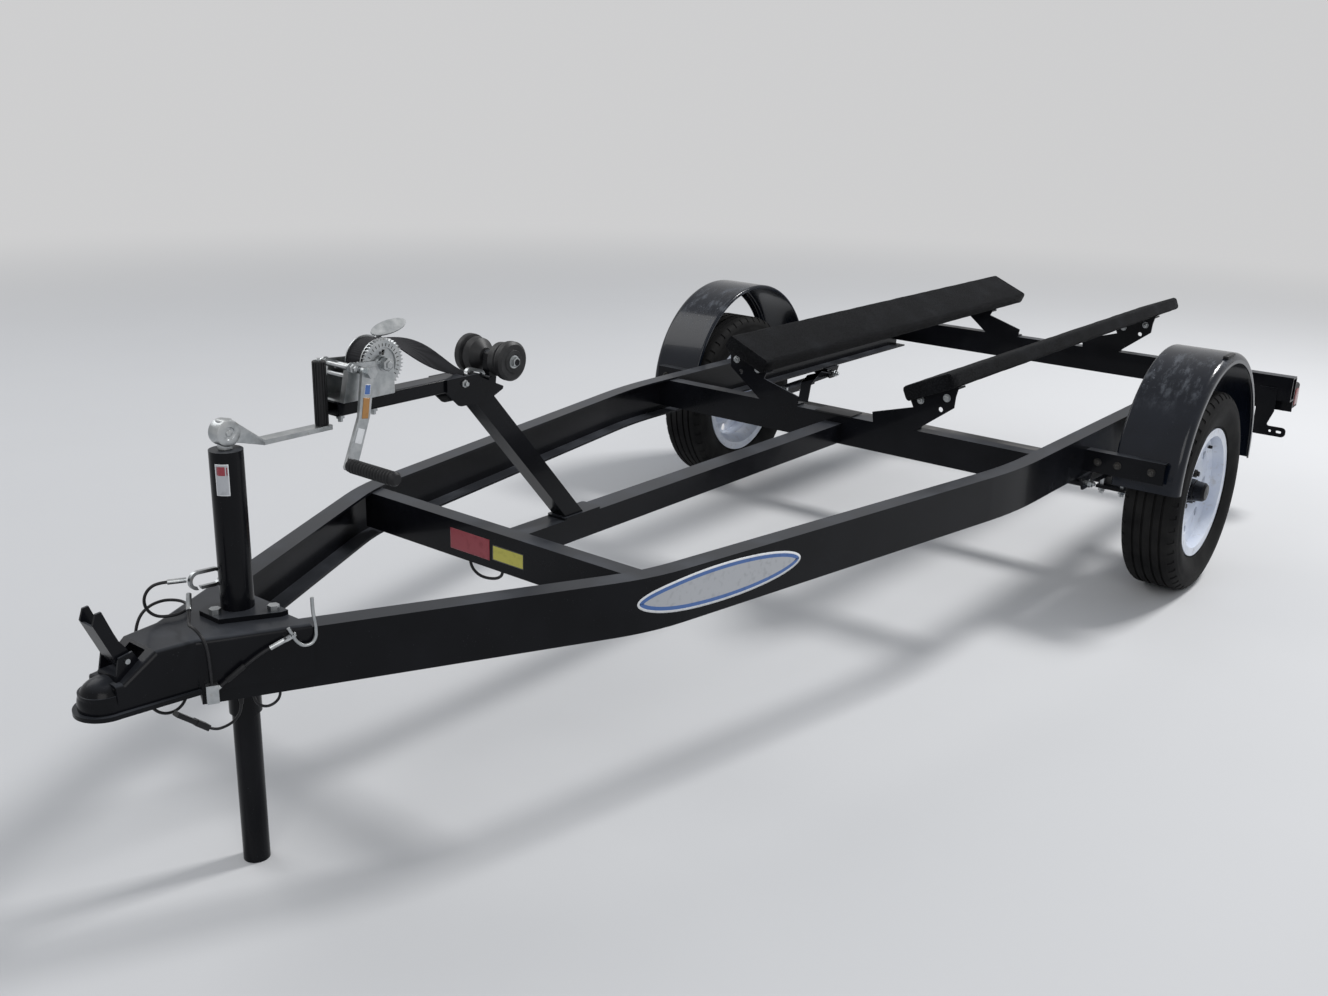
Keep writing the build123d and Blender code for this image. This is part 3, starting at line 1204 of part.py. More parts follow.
# Collars that take the cables' ends: cable, whether at its first end, radius, length
collars = [
    ("safety_cable_over", False, 4.2, 30.0),
    ("safety_cable_far", True, 4.2, 28.0),
    ("safety_cable_near", False, 4.2, 24.0),
    ("safety_cable_near", True, 3.6, 9.0),
]
collar_ends = []
with BuildPart() as fittings:
    # clamp on the coupler's left face
    with BuildSketch(Plane(origin=side_point(CLAMP_Y, 0, CLAMP_TOP), x_dir=along_face, z_dir=(0, 0, 1))):
        with Locations((0, -CLAMP_THICK / 2)):
            Rectangle(2 * CLAMP_HALF, CLAMP_THICK)
    extrude(amount=-CLAMP_HEIGHT)
    # clamp under the right rail, gland under the left rail
    with BuildSketch(Plane.XY.offset(rail_clamp.Z)):
        with Locations((rail_clamp.X, rail_clamp.Y)):
            RectangleRounded(24, 22, 3)
    extrude(amount=RAIL_BOTTOM - rail_clamp.Z)
    with BuildSketch(Plane.XY.offset(gland.Z)):
        with Locations((gland.X, gland.Y)):
            Circle(7)
    extrude(amount=RAIL_BOTTOM - gland.Z)
    for name, first, radius, length in collars:
        points = routes[name][1]
        end = points[0] if first else points[-1]
        toward = (points[0] - points[1] if first else points[-1] - points[-2]).normalized()
        with BuildSketch(Plane(origin=end, z_dir=toward)):
            Circle(radius)
        extrude(amount=length)
        collar_ends.append((end + toward * length, toward))
    # eye on the near cable
    eye_start, eye_toward = collar_ends[2]
    with BuildSketch(Plane(origin=eye_start + eye_toward * 9, x_dir=eye_toward, z_dir=out_of_face.cross(eye_toward))):
        SlotOverall(22, 11.8)
        with Locations((1, 0)):
            SlotOverall(15, 6.8, mode=Mode.SUBTRACT)
    extrude(amount=2, both=True)
write(fittings, "cable_fittings")

# A snap hook beside the jack tube, and an open hook through the near cable's eye
eye_middle = eye_start + eye_toward * 14
HOOK_OUTLINE = [(-6, 13), (5, -11), (15, -20), (28, -18.5), (35, -8), (35.5, 10), (32, 34), (32, 58)]
with BuildPart() as hooks:
    with BuildSketch(Plane.YZ.offset(-JACK_RADIUS - 6.5)):
        with Locations(Location((JACK_Y - 34, RAIL_TOP + 61), -4)):
            SlotOverall(60, 31)
            SlotOverall(49, 20, mode=Mode.SUBTRACT)
            with Locations((-12, -13)):
                Rectangle(5, 9, rotation=30, mode=Mode.SUBTRACT)
    extrude(amount=6)
    hook_points = [eye_middle + along_face * across + UP * up for across, up in HOOK_OUTLINE]
    with BuildLine() as hook_line:
        FilletPolyline(*hook_points, radius=bend_radii(hook_points))
    with BuildSketch(Plane(origin=hook_line.line @ 0, z_dir=hook_line.line % 0)):
        Circle(2.8)
    sweep(path=hook_line.line)
write(hooks, "cable_hooks")

# Flat plug on the wiring lead
lead_points = routes["wiring_lead"][1]
plug_axis = (lead_points[-1] - lead_points[-2]).normalized()
with BuildPart() as plug:
    for start, length, width, height in ((0.0, 22.0, 24.0, 10.0), (22.0, 34.0, 21.0, 8.0)):
        with BuildSketch(Plane(origin=lead_points[-1] + plug_axis * start, x_dir=(1, 0, 0), z_dir=plug_axis)):
            RectangleRounded(width, height, 2)
        extrude(amount=length)
write(plug, "wiring_plug")
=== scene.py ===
"""Boat trailer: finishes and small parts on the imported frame. Metres, +Z up, tongue to -Y."""
import json
from math import atan2, cos, pi, radians, sin, sqrt, tan

import bmesh
import bpy
from mathutils import Matrix, Vector


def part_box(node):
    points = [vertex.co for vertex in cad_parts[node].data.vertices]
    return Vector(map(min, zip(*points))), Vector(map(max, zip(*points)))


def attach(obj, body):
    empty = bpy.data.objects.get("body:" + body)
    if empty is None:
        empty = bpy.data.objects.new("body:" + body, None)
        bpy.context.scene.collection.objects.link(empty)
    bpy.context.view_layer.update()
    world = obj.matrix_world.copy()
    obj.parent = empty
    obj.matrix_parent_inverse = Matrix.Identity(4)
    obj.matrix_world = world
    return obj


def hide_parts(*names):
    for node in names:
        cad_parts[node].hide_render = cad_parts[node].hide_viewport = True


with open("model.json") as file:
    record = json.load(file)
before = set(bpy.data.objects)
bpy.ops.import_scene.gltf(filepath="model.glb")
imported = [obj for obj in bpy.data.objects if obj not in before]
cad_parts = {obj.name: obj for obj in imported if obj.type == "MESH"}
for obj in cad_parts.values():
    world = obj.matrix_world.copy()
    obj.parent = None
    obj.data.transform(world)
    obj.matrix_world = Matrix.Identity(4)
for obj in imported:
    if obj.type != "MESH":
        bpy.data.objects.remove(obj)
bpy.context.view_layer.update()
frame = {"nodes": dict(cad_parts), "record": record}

for loaded in bpy.context.selected_objects:
    loaded.select_set(False)

NODES = frame["nodes"]
AXLE_Y = sum(corner.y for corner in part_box("hub_left")) / 2
AXLE_Z = sum(corner.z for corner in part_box("hub_left")) / 2
RAIL_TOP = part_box("rail_left")[1].z


# Camera, at the photograph's place

YAW, PITCH, ROLL = 0.6609, 0.3137, 0.0292
SENSOR, PHOTO_WIDTH, FOCAL_PIXELS = 36.0, 1328, 1320
CAMERA_PLACE = (1.7104, AXLE_Y - 3.4826, RAIL_TOP + 0.8372)
look = Vector((-sin(YAW) * cos(PITCH), cos(YAW) * cos(PITCH), -sin(PITCH)))
level = look.cross(Vector((0, 0, 1))).normalized()
above = level.cross(look)
right = cos(ROLL) * level + sin(ROLL) * above
up = -sin(ROLL) * level + cos(ROLL) * above
lens = bpy.data.cameras.new("camera")
lens.sensor_width = SENSOR
lens.lens = FOCAL_PIXELS / PHOTO_WIDTH * SENSOR
lens.clip_start = 0.05
camera = bpy.data.objects.new("camera", lens)
camera.matrix_world = Matrix.Translation(CAMERA_PLACE) @ Matrix((right, up, -look)).transposed().to_4x4()
bpy.context.scene.collection.objects.link(camera)
bpy.context.scene.camera = camera
bpy.context.scene.view_settings.view_transform = "Standard"


# Shader helpers


class Sock:
    """A node's output that takes part in sums."""

    def __init__(self, paint, out):
        self.paint, self.out = paint, out

    def _math(self, how, *others):
        return self.paint.node("ShaderNodeMath", {"operation": how}, self, *others)

    def __add__(self, other):
        return self._math("ADD", other)

    def __mul__(self, other):
        return self._math("MULTIPLY", other)

    def __sub__(self, other):
        return self._math("SUBTRACT", other)

    def __rsub__(self, other):
        return self.paint.node("ShaderNodeMath", {"operation": "SUBTRACT"}, other, self)

    __radd__ = __add__
    __rmul__ = __mul__

    def most(self, other):
        """The greater of the two."""
        return self._math("MAXIMUM", other)

    def step(self, low, high):
        """0 below low, 1 above high, smooth between."""
        return self.paint.node("ShaderNodeMapRange", {"interpolation_type": "SMOOTHSTEP"},
                               Value=self, **{"From Min": low, "From Max": high})


class Nodes:
    """A tree of nodes, and the one way in which they are made."""

    def __init__(self, tree):
        self.tree = tree

    def node(self, kind, settings=None, *values, get=0, places=None, **named):
        """A node with its settings, its inputs by order, place or name, and the output to take."""
        made = self.tree.nodes.new(kind)
        for key, value in (settings or {}).items():
            setattr(made, key, value)
        for key, value in [*enumerate(values), *(places or {}).items(), *named.items()]:
            socket = made.inputs[key]
            if isinstance(value, Sock):
                self.tree.links.new(value.out, socket)
            else:
                socket.default_value = value
        return Sock(self, made.outputs[get])

    def seen(self):
        """1 for what the camera, a mirror or clear plastic sees, 0 for light itself."""
        path = self.node("ShaderNodeLightPath").out.node
        camera_ray, mirror_ray, clear_ray = (Sock(self, path.outputs[f"Is {ray} Ray"])
                                             for ray in ("Camera", "Glossy", "Transmission"))
        return camera_ray.most(mirror_ray).most(clear_ray)

    def show(self, output, surface):
        """Links what is shown to the tree's output node."""
        self.tree.links.new(surface.out, self.tree.nodes[output].inputs["Surface"])


class Finish(Nodes):
    """One material: a Principled shader and the nodes that feed it."""

    def __init__(self, name, **constants):
        self.material = bpy.data.materials.new(name)
        self.material.use_nodes = True
        super().__init__(self.material.node_tree)
        self.shader = self.tree.nodes["Principled BSDF"]
        for socket, value in constants.items():
            self.shader.inputs[socket.replace("_", " ")].default_value = value

    def place(self, scale=(1, 1, 1)):
        """Where a point of the piece lies, stretched by scale."""
        spot = self.node("ShaderNodeTexCoord", get="Object")
        return self.node("ShaderNodeMapping", None, Vector=spot, Scale=scale)

    def noise(self, scale, detail=4.0, rough=0.5, stretch=(1, 1, 1)):
        """Cloudy pattern of a given number of blotches a metre."""
        return self.node("ShaderNodeTexNoise", None, Vector=self.place(stretch), Scale=scale, Detail=detail,
                         Roughness=rough)

    def cells(self, scale):
        """Distance to the nearest of scattered points."""
        return self.node("ShaderNodeTexVoronoi", None, Vector=self.place(), Scale=scale)

    def facing(self, axis):
        """How far a surface faces along an axis."""
        normal = self.node("ShaderNodeNewGeometry", get="Normal")
        return self.node("ShaderNodeSeparateXYZ", None, normal, get=axis)

    def at(self, axis):
        """Where a point lies along an axis."""
        spot = self.node("ShaderNodeTexCoord", get="Object")
        return self.node("ShaderNodeSeparateXYZ", None, spot, get=axis)

    def mix(self, share, first, second):
        """A colour between first and second."""
        first, second = (shade if isinstance(shade, Sock) else (*shade, 1.0) for shade in (first, second))
        return self.node("ShaderNodeMix", {"data_type": "RGBA"}, share, places={6: first, 7: second}, get=2)

    def bump(self, height, strength, depth):
        """Fine relief from a height."""
        return self.node("ShaderNodeBump", None, Height=height, Strength=strength, Distance=depth)

    def feed(self, **links):
        """Links nodes to the shader's sockets and gives the material."""
        for socket, value in links.items():
            self.tree.links.new(value.out, self.shader.inputs[socket.replace("_", " ")])
        return self.material


# Finishes


def gloss_black():
    paint = Finish("gloss_black_paint", Coat_Roughness=0.06, Specular_IOR_Level=0.10)
    blotch, grain = paint.noise(9.0, 5.0), paint.noise(160.0, 3.0)
    # Upward faces turn lighter and bluish: partly a dusty film, partly painted sky reflection on the tops.
    dust_and_sky_sheen = paint.facing("Z").step(0.6, 1.0) * (blotch.step(0.42, 0.75) * 0.4 + 0.35)
    specks = paint.cells(210.0).step(0.16, 0.05) * paint.noise(30.0).step(0.52, 0.7)
    shade = paint.mix(blotch.step(0.3, 0.8) * 0.6, (0.0035, 0.0038, 0.005), (0.008, 0.0085, 0.011))
    # The pale bluish colour laid on upward faces and specks is partly dusty film and specks, partly painted
    # sky reflection.
    shade = paint.mix(dust_and_sky_sheen * 0.26 + specks * 0.12, shade, (0.29, 0.31, 0.35))
    rough = 0.16 + blotch * 0.16 + dust_and_sky_sheen * 0.25 + specks * 0.3
    return paint.feed(Base_Color=shade, Roughness=rough, Coat_Weight=0.08 - dust_and_sky_sheen * 0.08,
                      Normal=paint.bump(grain * 0.4 + blotch * 0.6, 0.08, 0.0006))


def satin_axle():
    paint = Finish("satin_axle_paint")
    blotch = paint.noise(22.0, 6.0)
    shade = paint.mix(blotch.step(0.35, 0.75), (0.035, 0.036, 0.038), (0.11, 0.105, 0.1))
    return paint.feed(Base_Color=shade, Roughness=0.42 + blotch * 0.25,
                      Normal=paint.bump(paint.noise(120.0), 0.15, 0.0005))


def zinc():
    paint = Finish("zinc_plate", Metallic=1.0)
    blotch, fine = paint.noise(45.0, 6.0, 0.6), paint.noise(420.0, 2.0)
    shade = paint.mix(blotch.step(0.3, 0.7), (0.34, 0.36, 0.37), (0.50, 0.515, 0.52))
    shade = paint.mix(paint.noise(70.0, 5.0).step(0.62, 0.78) * 0.5, shade, (0.27, 0.22, 0.17))
    return paint.feed(Base_Color=shade, Roughness=0.24 + blotch * 0.22,
                      Normal=paint.bump(fine, 0.12, 0.0003))


def tyre_rubber():
    paint = Finish("tyre_rubber", Specular_IOR_Level=0.12)
    blotch, grain = paint.noise(14.0, 5.0), paint.noise(300.0, 3.0)
    shade = paint.mix(blotch.step(0.3, 0.75), (0.005, 0.005, 0.0055), (0.015, 0.0148, 0.0145))
    return paint.feed(Base_Color=shade, Roughness=0.62 + grain * 0.2,
                      Normal=paint.bump(grain, 0.25, 0.0006))


def white_wheel():
    paint = Finish("white_wheel_paint", Coat_Weight=0.3, Coat_Roughness=0.1)
    blotch = paint.noise(18.0, 6.0)
    dirt = paint.noise(60.0, 5.0).step(0.55, 0.75)
    # The white's blue tint is painted blue shade from the sky.
    shade = paint.mix(blotch.step(0.3, 0.7), (0.57, 0.62, 0.73), (0.68, 0.72, 0.80))
    shade = paint.mix(dirt * 0.35, shade, (0.36, 0.33, 0.29))
    return paint.feed(Base_Color=shade, Roughness=0.28 + dirt * 0.25,
                      Normal=paint.bump(blotch, 0.06, 0.0006))


def carpet():
    paint = Finish("bunk_carpet", Specular_IOR_Level=0.06, Sheen_Weight=0.03, Sheen_Roughness=0.5)
    loops, blotch = paint.cells(300.0), paint.noise(10.0, 5.0)
    shade = paint.mix(loops.step(0.1, 0.7), (0.013, 0.0135, 0.015), (0.003, 0.003, 0.0035))
    shade = paint.mix(blotch.step(0.45, 0.8) * 0.5, shade, (0.020, 0.021, 0.024))
    return paint.feed(Base_Color=shade, Roughness=0.88 + blotch * 0.1,
                      Normal=paint.bump(1 - loops + paint.noise(260.0) * 0.8, 0.7, 0.0016))


def webbing():
    paint = Finish("strap_webbing", Specular_IOR_Level=0.25)
    ribs, cross = (paint.node("ShaderNodeTexWave", {"bands_direction": way}, Vector=paint.place(),
                              Scale=scale, Distortion=0.4) for way, scale in (("X", 210.0), ("Y", 160.0)))
    weave = ribs * cross
    shade = paint.mix(weave, (0.010, 0.010, 0.012), (0.035, 0.036, 0.040))
    return paint.feed(Base_Color=shade, Roughness=0.7 + weave * 0.15, Normal=paint.bump(weave, 0.5, 0.0008))


def roller_rubber():
    paint = Finish("roller_rubber", Specular_IOR_Level=0.3)
    blotch = paint.noise(30.0, 5.0)
    shade = paint.mix(blotch.step(0.4, 0.75), (0.012, 0.012, 0.013), (0.032, 0.032, 0.033))
    return paint.feed(Base_Color=shade, Roughness=0.34 + blotch * 0.25,
                      Normal=paint.bump(blotch, 0.12, 0.0006))


def grip_rubber():
    paint = Finish("grip_rubber", Specular_IOR_Level=0.2)
    blotch = paint.noise(60.0, 5.0)
    shade = paint.mix(blotch, (0.008, 0.008, 0.009), (0.022, 0.022, 0.023))
    return paint.feed(Base_Color=shade, Roughness=0.38 + blotch * 0.2,
                      Normal=paint.bump(blotch, 0.1, 0.0004))


def red_lens():
    paint = Finish("red_lens", Coat_Weight=0.25, Coat_Roughness=0.05, Specular_IOR_Level=0.4)
    ribs = paint.cells(300.0)
    shade = paint.mix(ribs.step(0.1, 0.6), (0.26, 0.004, 0.006), (0.12, 0.002, 0.003))
    return paint.feed(Base_Color=shade, Roughness=0.14 + paint.noise(40.0) * 0.12,
                      Normal=paint.bump(ribs, 0.35, 0.0006))


def cable_jacket():
    paint = Finish("cable_jacket", Specular_IOR_Level=0.25)
    blotch = paint.noise(80.0, 4.0)
    shade = paint.mix(blotch, (0.006, 0.006, 0.007), (0.022, 0.022, 0.024))
    return paint.feed(Base_Color=shade, Roughness=0.3 + blotch * 0.2,
                      Normal=paint.bump(blotch, 0.1, 0.0003))


def plain_label(name, shade):
    paint = Finish(name, Coat_Weight=0.2, Coat_Roughness=0.15)
    wear = paint.noise(90.0, 5.0).step(0.5, 0.75)
    dark = tuple(part * 0.72 for part in shade)
    return paint.feed(Base_Color=paint.mix(wear * 0.6, shade, dark), Roughness=0.35 + wear * 0.2)


def dark_nut():
    paint = Finish("dark_nut", Metallic=0.6)
    blotch = paint.noise(120.0, 5.0)
    shade = paint.mix(blotch.step(0.35, 0.7), (0.02, 0.02, 0.021), (0.07, 0.066, 0.06))
    return paint.feed(Base_Color=shade, Roughness=0.35 + blotch * 0.3,
                      Normal=paint.bump(blotch, 0.1, 0.0003))


def scuffed_fender():
    """Gloss black with rubbed dusty marks and pale scratches on the fender's upper front; the blue tint of
    the paint and of the marks is painted sky reflection.
    """
    paint = Finish("fender_paint", Coat_Roughness=0.05, Specular_IOR_Level=0.20)
    blotch, streaks = paint.noise(9.0, 5.0), paint.noise(26.0, 8.0, 0.7, stretch=(1.6, 0.5, 1.0))
    high = (paint.at("Z") - RAIL_TOP).step(0.05, 0.15) * (paint.at("Y") - AXLE_Y).step(0.08, -0.10)
    rubbed = streaks.step(0.46, 0.74) * high
    scratches = paint.noise(150.0, 6.0, 0.7, stretch=(1.0, 0.25, 1.0)).step(0.60, 0.70)
    fine = scratches * paint.noise(7.0).step(0.45, 0.6)
    # The paint's bluish colour is a painted sky reflection.
    shade = paint.mix(blotch.step(0.3, 0.8) * 0.6, (0.004, 0.006, 0.011), (0.010, 0.013, 0.021))
    # Rubbed marks and scratches are real wear; their pale blue-grey is partly painted sky reflection.
    shade = paint.mix(rubbed * 0.24 + fine * high * 0.35 + fine * 0.06, shade, (0.38, 0.41, 0.46))
    return paint.feed(Base_Color=shade, Roughness=0.14 + blotch * 0.12 + rubbed * 0.35,
                      Coat_Weight=0.24 - rubbed * 0.2, Normal=paint.bump(blotch + fine * 0.2, 0.07, 0.0006))


LABEL_SHADES = {
    "white": (0.72, 0.73, 0.74), "blue": (0.05, 0.13, 0.36), "grey": (0.42, 0.43, 0.45),
    "dark": (0.03, 0.03, 0.028), "red": (0.27, 0.028, 0.042), "yellow": (0.50, 0.46, 0.07),
    "amber": (0.36, 0.17, 0.04),
}
FINISHES = {
    "fender": scuffed_fender(), "black_paint": gloss_black(), "axle_grey": satin_axle(), "zinc": zinc(),
    "tyre_rubber": tyre_rubber(), "wheel_white": white_wheel(), "carpet": carpet(), "webbing": webbing(),
    "black_rubber": roller_rubber(), "red_lens": red_lens(), "cable_jacket": cable_jacket(),
    "grip": grip_rubber(), "dark_nut": dark_nut(),
    **{f"label_{name}": plain_label(f"label_{name}", shade) for name, shade in LABEL_SHADES.items()},
}
slot_of = {row["node"]: row["material_slot"] for row in frame["record"]["subparts"]}
for name, node in NODES.items():
    finish = FINISHES["fender" if name in ("fender_left", "fender_right") else slot_of[name]]
    node.data.materials.clear()
    node.data.materials.append(finish)


# Shared places and sizes

MM = 0.001
TONGUE_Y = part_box("rail_left")[0].y
SIDE_TURN = atan2(340, 672)
UP = Vector((0, 0, 1))
SIDES = {1: "left", -1: "right"}
WHEEL_X = 0.740
BUNK_TILT = radians(23.4)
JACK_Y = -2372
ROLLER_Y, ROLLER_Z = -1812, 330
SPRING_X = 566


def spot(x, y, z):
    """A place given in millimetres from the centre line, the axle and the rails' top."""
    return Vector((x * MM, AXLE_Y + y * MM, RAIL_TOP + z * MM))


def tongue_point(across, back, up):
    """A place given in millimetres from the tongue's front end."""
    return Vector((across * MM, TONGUE_Y + back * MM, RAIL_TOP + up * MM))


def side_point(back, out, up):
    """A place beside the tongue's left face, out from it."""
    face = tongue_point(58 + back * tan(SIDE_TURN), back, up)
    return face + Vector((cos(SIDE_TURN), -sin(SIDE_TURN), 0)) * (out * MM)


# Cables and leads


def cord_line(name, points, diameter, finish):
    """A smooth cord whose control points are the route's points."""
    curve = bpy.data.curves.new(name, "CURVE")
    curve.dimensions = "3D"
    curve.bevel_depth = diameter / 2
    curve.bevel_resolution = 4
    curve.resolution_u = 10
    curve.use_fill_caps = True
    line = curve.splines.new("NURBS")
    line.points.add(len(points) - 1)
    for point, place in zip(line.points, points):
        point.co = (*place, 1.0)
    line.order_u = 3
    line.use_endpoint_u = True
    piece = bpy.data.objects.new(name, curve)
    bpy.context.scene.collection.objects.link(piece)
    curve.materials.append(finish)
    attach(piece, "frame")
    return piece


def cables(finish):
    thick, lead_thick, loop_thick = 0.005, 0.0045, 0.006
    clamp = side_point(11, 7, -66)
    over = [clamp, clamp + UP * 0.017, *(tongue_point(*row) for row in (
        (70.6, 6.4, -29), (71.2, 4.8, -10.5), (68.6, 3.3, 4.3), (58.9, 1.3, 16), (43.9, 1.3, 21.9),
        (27.5, 4.6, 19.6), (15.5, 11.8, 17), (4, 19.3, 20.7), (-5.5, 26.1, 28.7)))]
    piece = cord_line("cable_over", over, thick, finish)
    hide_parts("safety_cable_over")

    loop_radius, far_end = 0.029, tongue_point(-44, 17, 67.5)
    ahead = Vector((-0.468, -0.884, 0))
    standing = far_end + ahead * 0.0074 - UP * 0.028
    turn_middle, hang_middle = tongue_point(-69, 30, 11.5), tongue_point(-38, 1, -119.8)
    standing_loop = [standing + (ahead * sin(radians(turn)) + UP * cos(radians(turn))) * loop_radius
                     for turn in range(15, 166, 30)]
    flat_turn = [turn_middle + Vector((cos(radians(turn)), sin(radians(turn)), 0)) * loop_radius
                 + UP * (0.027 * MM * (turn + 13)) for turn in range(-13, 168, 30)]
    hanging_loop = [hang_middle + Vector((-0.0006 * MM * (345 - turn) ** 2,
                                          cos(radians(turn)) * loop_radius,
                                          sin(radians(turn)) * loop_radius))
                    for turn in range(195, 346, 30)]
    far = [far_end, *standing_loop, *flat_turn, *(tongue_point(*row) for row in (
        (-98, 16, 14.5), (-98, -1, 5), (-96, -12, -12), (-92, -18, -34), (-85, -23, -59), (-75, -29, -84),
        (-65.5, -32, -107))), *hanging_loop, hanging_loop[-1] + UP * 0.0153]
    far.reverse()
    piece = cord_line("cable_far", far, thick, finish)
    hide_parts("safety_cable_far")

    near = [side_point(*row) for row in (
        (22, 7, -70), (34, 7.3, -60), (50, 7, -47.5), (68, 7.3, -33.5), (81, 7, -24.5), (90, 7, -20))]
    piece = cord_line("cable_near", near, thick, finish)
    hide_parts("safety_cable_near")

    gland = tongue_point(54, 66, -112)
    lead = [gland, gland - UP * 0.014, *(tongue_point(*row) for row in (
        (51, 64, -142), (43, 58, -156), (32, 48, -166), (24, 34, -168.5), (20.5, 24, -160.5)))]
    piece = cord_line("lead_to_plug", lead, lead_thick, finish)
    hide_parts("wiring_lead")

    loop = [spot(*row) for row in (
        (-85, -1790, -78), (-87, -1790, -94), (-80, -1789, -112), (-60, -1788, -122), (-34, -1787, -121),
        (-10, -1787, -114), (4, -1788, -100), (6, -1790, -78))]
    piece = cord_line("loop_under_cross", loop, loop_thick, finish)

    loop = [side_point(*row) for row in (
        (66, -12, -99), (66, -12, -110), (72, -12, -122), (84, -12, -127), (96, -12, -121), (102, -12, -110),
        (102, -12, -99))]
    piece = cord_line("loop_under_rail", loop, lead_thick, finish)


# Bench tools


def deselect():
    """Leaves no object chosen."""
    for chosen in bpy.context.selected_objects:
        chosen.select_set(False)


def begin(shape, **sizes):
    """A primitive alone and open in edit mode, with its place in its mesh."""
    deselect()
    getattr(bpy.ops.mesh, f"primitive_{shape}_add")(**sizes)
    bpy.ops.object.transform_apply(location=True, rotation=True, scale=True)
    bpy.ops.object.mode_set(mode="EDIT")
    return bpy.context.object


def pick(kind, test=None):
    """Selects the open piece's faces, edges or points by their middle and their normal or direction."""
    bpy.ops.mesh.select_mode(type=kind)
    bpy.ops.mesh.select_all(action="DESELECT")
    mesh = bmesh.from_edit_mesh(bpy.context.object.data)
    for item in {"FACE": mesh.faces, "EDGE": mesh.edges, "VERT": mesh.verts}[kind]:
        corners = [item] if kind == "VERT" else list(item.verts)
        middle = sum((corner.co for corner in corners), Vector()) / len(corners)
        way = corners[1].co - corners[0].co if kind == "EDGE" else item.normal
        if test is None or test(middle, way.normalized()):
            item.select_set(True)
    bmesh.update_edit_mesh(bpy.context.object.data)


def pull(x, y, z):
    """Extrudes what is picked."""
    bpy.ops.mesh.extrude_region_move(TRANSFORM_OT_translate={"value": (x, y, z)})


def soften(offset, segments=2, test=None):
    """Bevels the edges that pass a test, or all of them."""
    pick("EDGE", test)
    bpy.ops.mesh.bevel(offset=offset, segments=segments, affect="EDGES")


def weld():
    """Merges points that meet and turns the faces outwards."""
    bpy.ops.mesh.select_all(action="SELECT")
    bpy.ops.mesh.remove_doubles(threshold=0.00002)
    bpy.ops.mesh.normals_make_consistent(inside=False)


def settle(piece, name, body, slot, *finishes, smooth=35, replaces=()):
    """Closes a piece: place into its mesh, smooth shading, name, finish and body; the slot's finish serves
    when no finish is given and the piece has none.
    """
    if bpy.context.mode == "EDIT_MESH":
        bpy.ops.object.mode_set(mode="OBJECT")
    deselect()
    piece.select_set(True)
    bpy.context.view_layer.objects.active = piece
    bpy.ops.object.transform_apply(location=True, rotation=True, scale=True)
    bpy.ops.object.shade_smooth_by_angle(angle=radians(smooth))
    piece.name = piece.data.name = name
    if finishes or not piece.data.materials:
        piece.data.materials.clear()
        for finish in finishes or (FINISHES[slot],):
            piece.data.materials.append(finish)
    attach(piece, body)
    if replaces:
        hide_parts(*replaces)
    return piece


def mirrored(half):
    """The other half of a section, from its middle outwards."""
    return [(-along, radius) for along, radius in reversed(half)]


def turned(profile, centre, axis=(1, 0, 0), out=(0, 0, 1), steps=48):
    """A section of (along, radius) points in millimetres, spun about the axis through centre."""
    along, out = Vector(axis), Vector(out)
    corners = [Vector(centre) + along * (ahead * MM) + out * (radius * MM) for ahead, radius in profile]
    piece = begin("plane", size=0.01, location=corners[0])
    bpy.ops.mesh.select_mode(type="VERT")
    bpy.ops.mesh.select_all(action="SELECT")
    bpy.ops.mesh.merge(type="CENTER")
    for first, second in zip(corners, corners[1:]):
        bpy.ops.mesh.extrude_vertices_move(TRANSFORM_OT_translate={"value": second - first})
    bpy.ops.mesh.select_all(action="SELECT")
    bpy.ops.mesh.spin(steps=steps, angle=2 * pi, center=centre, axis=axis)
    weld()
    return piece


def hexagon(across, thick, washer, stud=0.0, reach=0.0):
    """A nut or bolt head on the origin along +Z, with its washer and its stud's end, in millimetres."""
    base, corner, crown = 1.6, 0.09 * across * MM, 0.05 * across * MM
    piece = begin("cylinder", vertices=6, radius=across / sqrt(3) * MM, depth=thick * MM,
                  location=(0, 0, (base + thick / 2) * MM))
    pick("FACE", lambda middle, way: way.z > 0.9)
    bpy.ops.mesh.inset(thickness=corner, depth=crown)
    if reach:
        bpy.ops.mesh.inset(thickness=(0.41 * across - stud) * MM, depth=0)
        pull(0, 0, reach * MM)
        bpy.ops.mesh.inset(thickness=0.7 * MM, depth=0.7 * MM)
    bpy.ops.mesh.primitive_cylinder_add(vertices=24, radius=washer * MM, depth=base * MM,
                                        location=(0, 0, base / 2 * MM))
    bpy.ops.object.mode_set(mode="OBJECT")
    return piece


def stood(place, way):
    """The pose that brings the origin to a place and +Z to a way."""
    return Matrix.Translation(place) @ Vector(way).to_track_quat("Z", "Y").to_matrix().to_4x4()


def twin_of(model, pose):
    """A copy of a model, with a mesh of its own, in a pose."""
    twin = model.copy()
    twin.data = model.data.copy()
    twin.matrix_world = pose
    bpy.context.scene.collection.objects.link(twin)
    return twin


def joined(twins):
    """Several copies made into one object."""
    deselect()
    for twin in twins:
        twin.select_set(True)
    bpy.context.view_layer.objects.active = twins[0]
    bpy.ops.object.join()
    return twins[0]


def fastened(name, model, places, body, *finishes):
    """One piece of copies of a model, each at its place and along its way."""
    twins = [twin_of(model, stood(place, way)) for place, way in places]
    return settle(joined(twins), name, body, "zinc", *finishes)


def applied(piece, kind, **settings):
    """Adds one modifier to a closed piece and applies it."""
    change = piece.modifiers.new(kind.lower(), kind)
    for key, value in settings.items():
        setattr(change, key, value)
    deselect()
    piece.select_set(True)
    bpy.context.view_layer.objects.active = piece
    bpy.ops.object.modifier_apply(modifier=change.name)


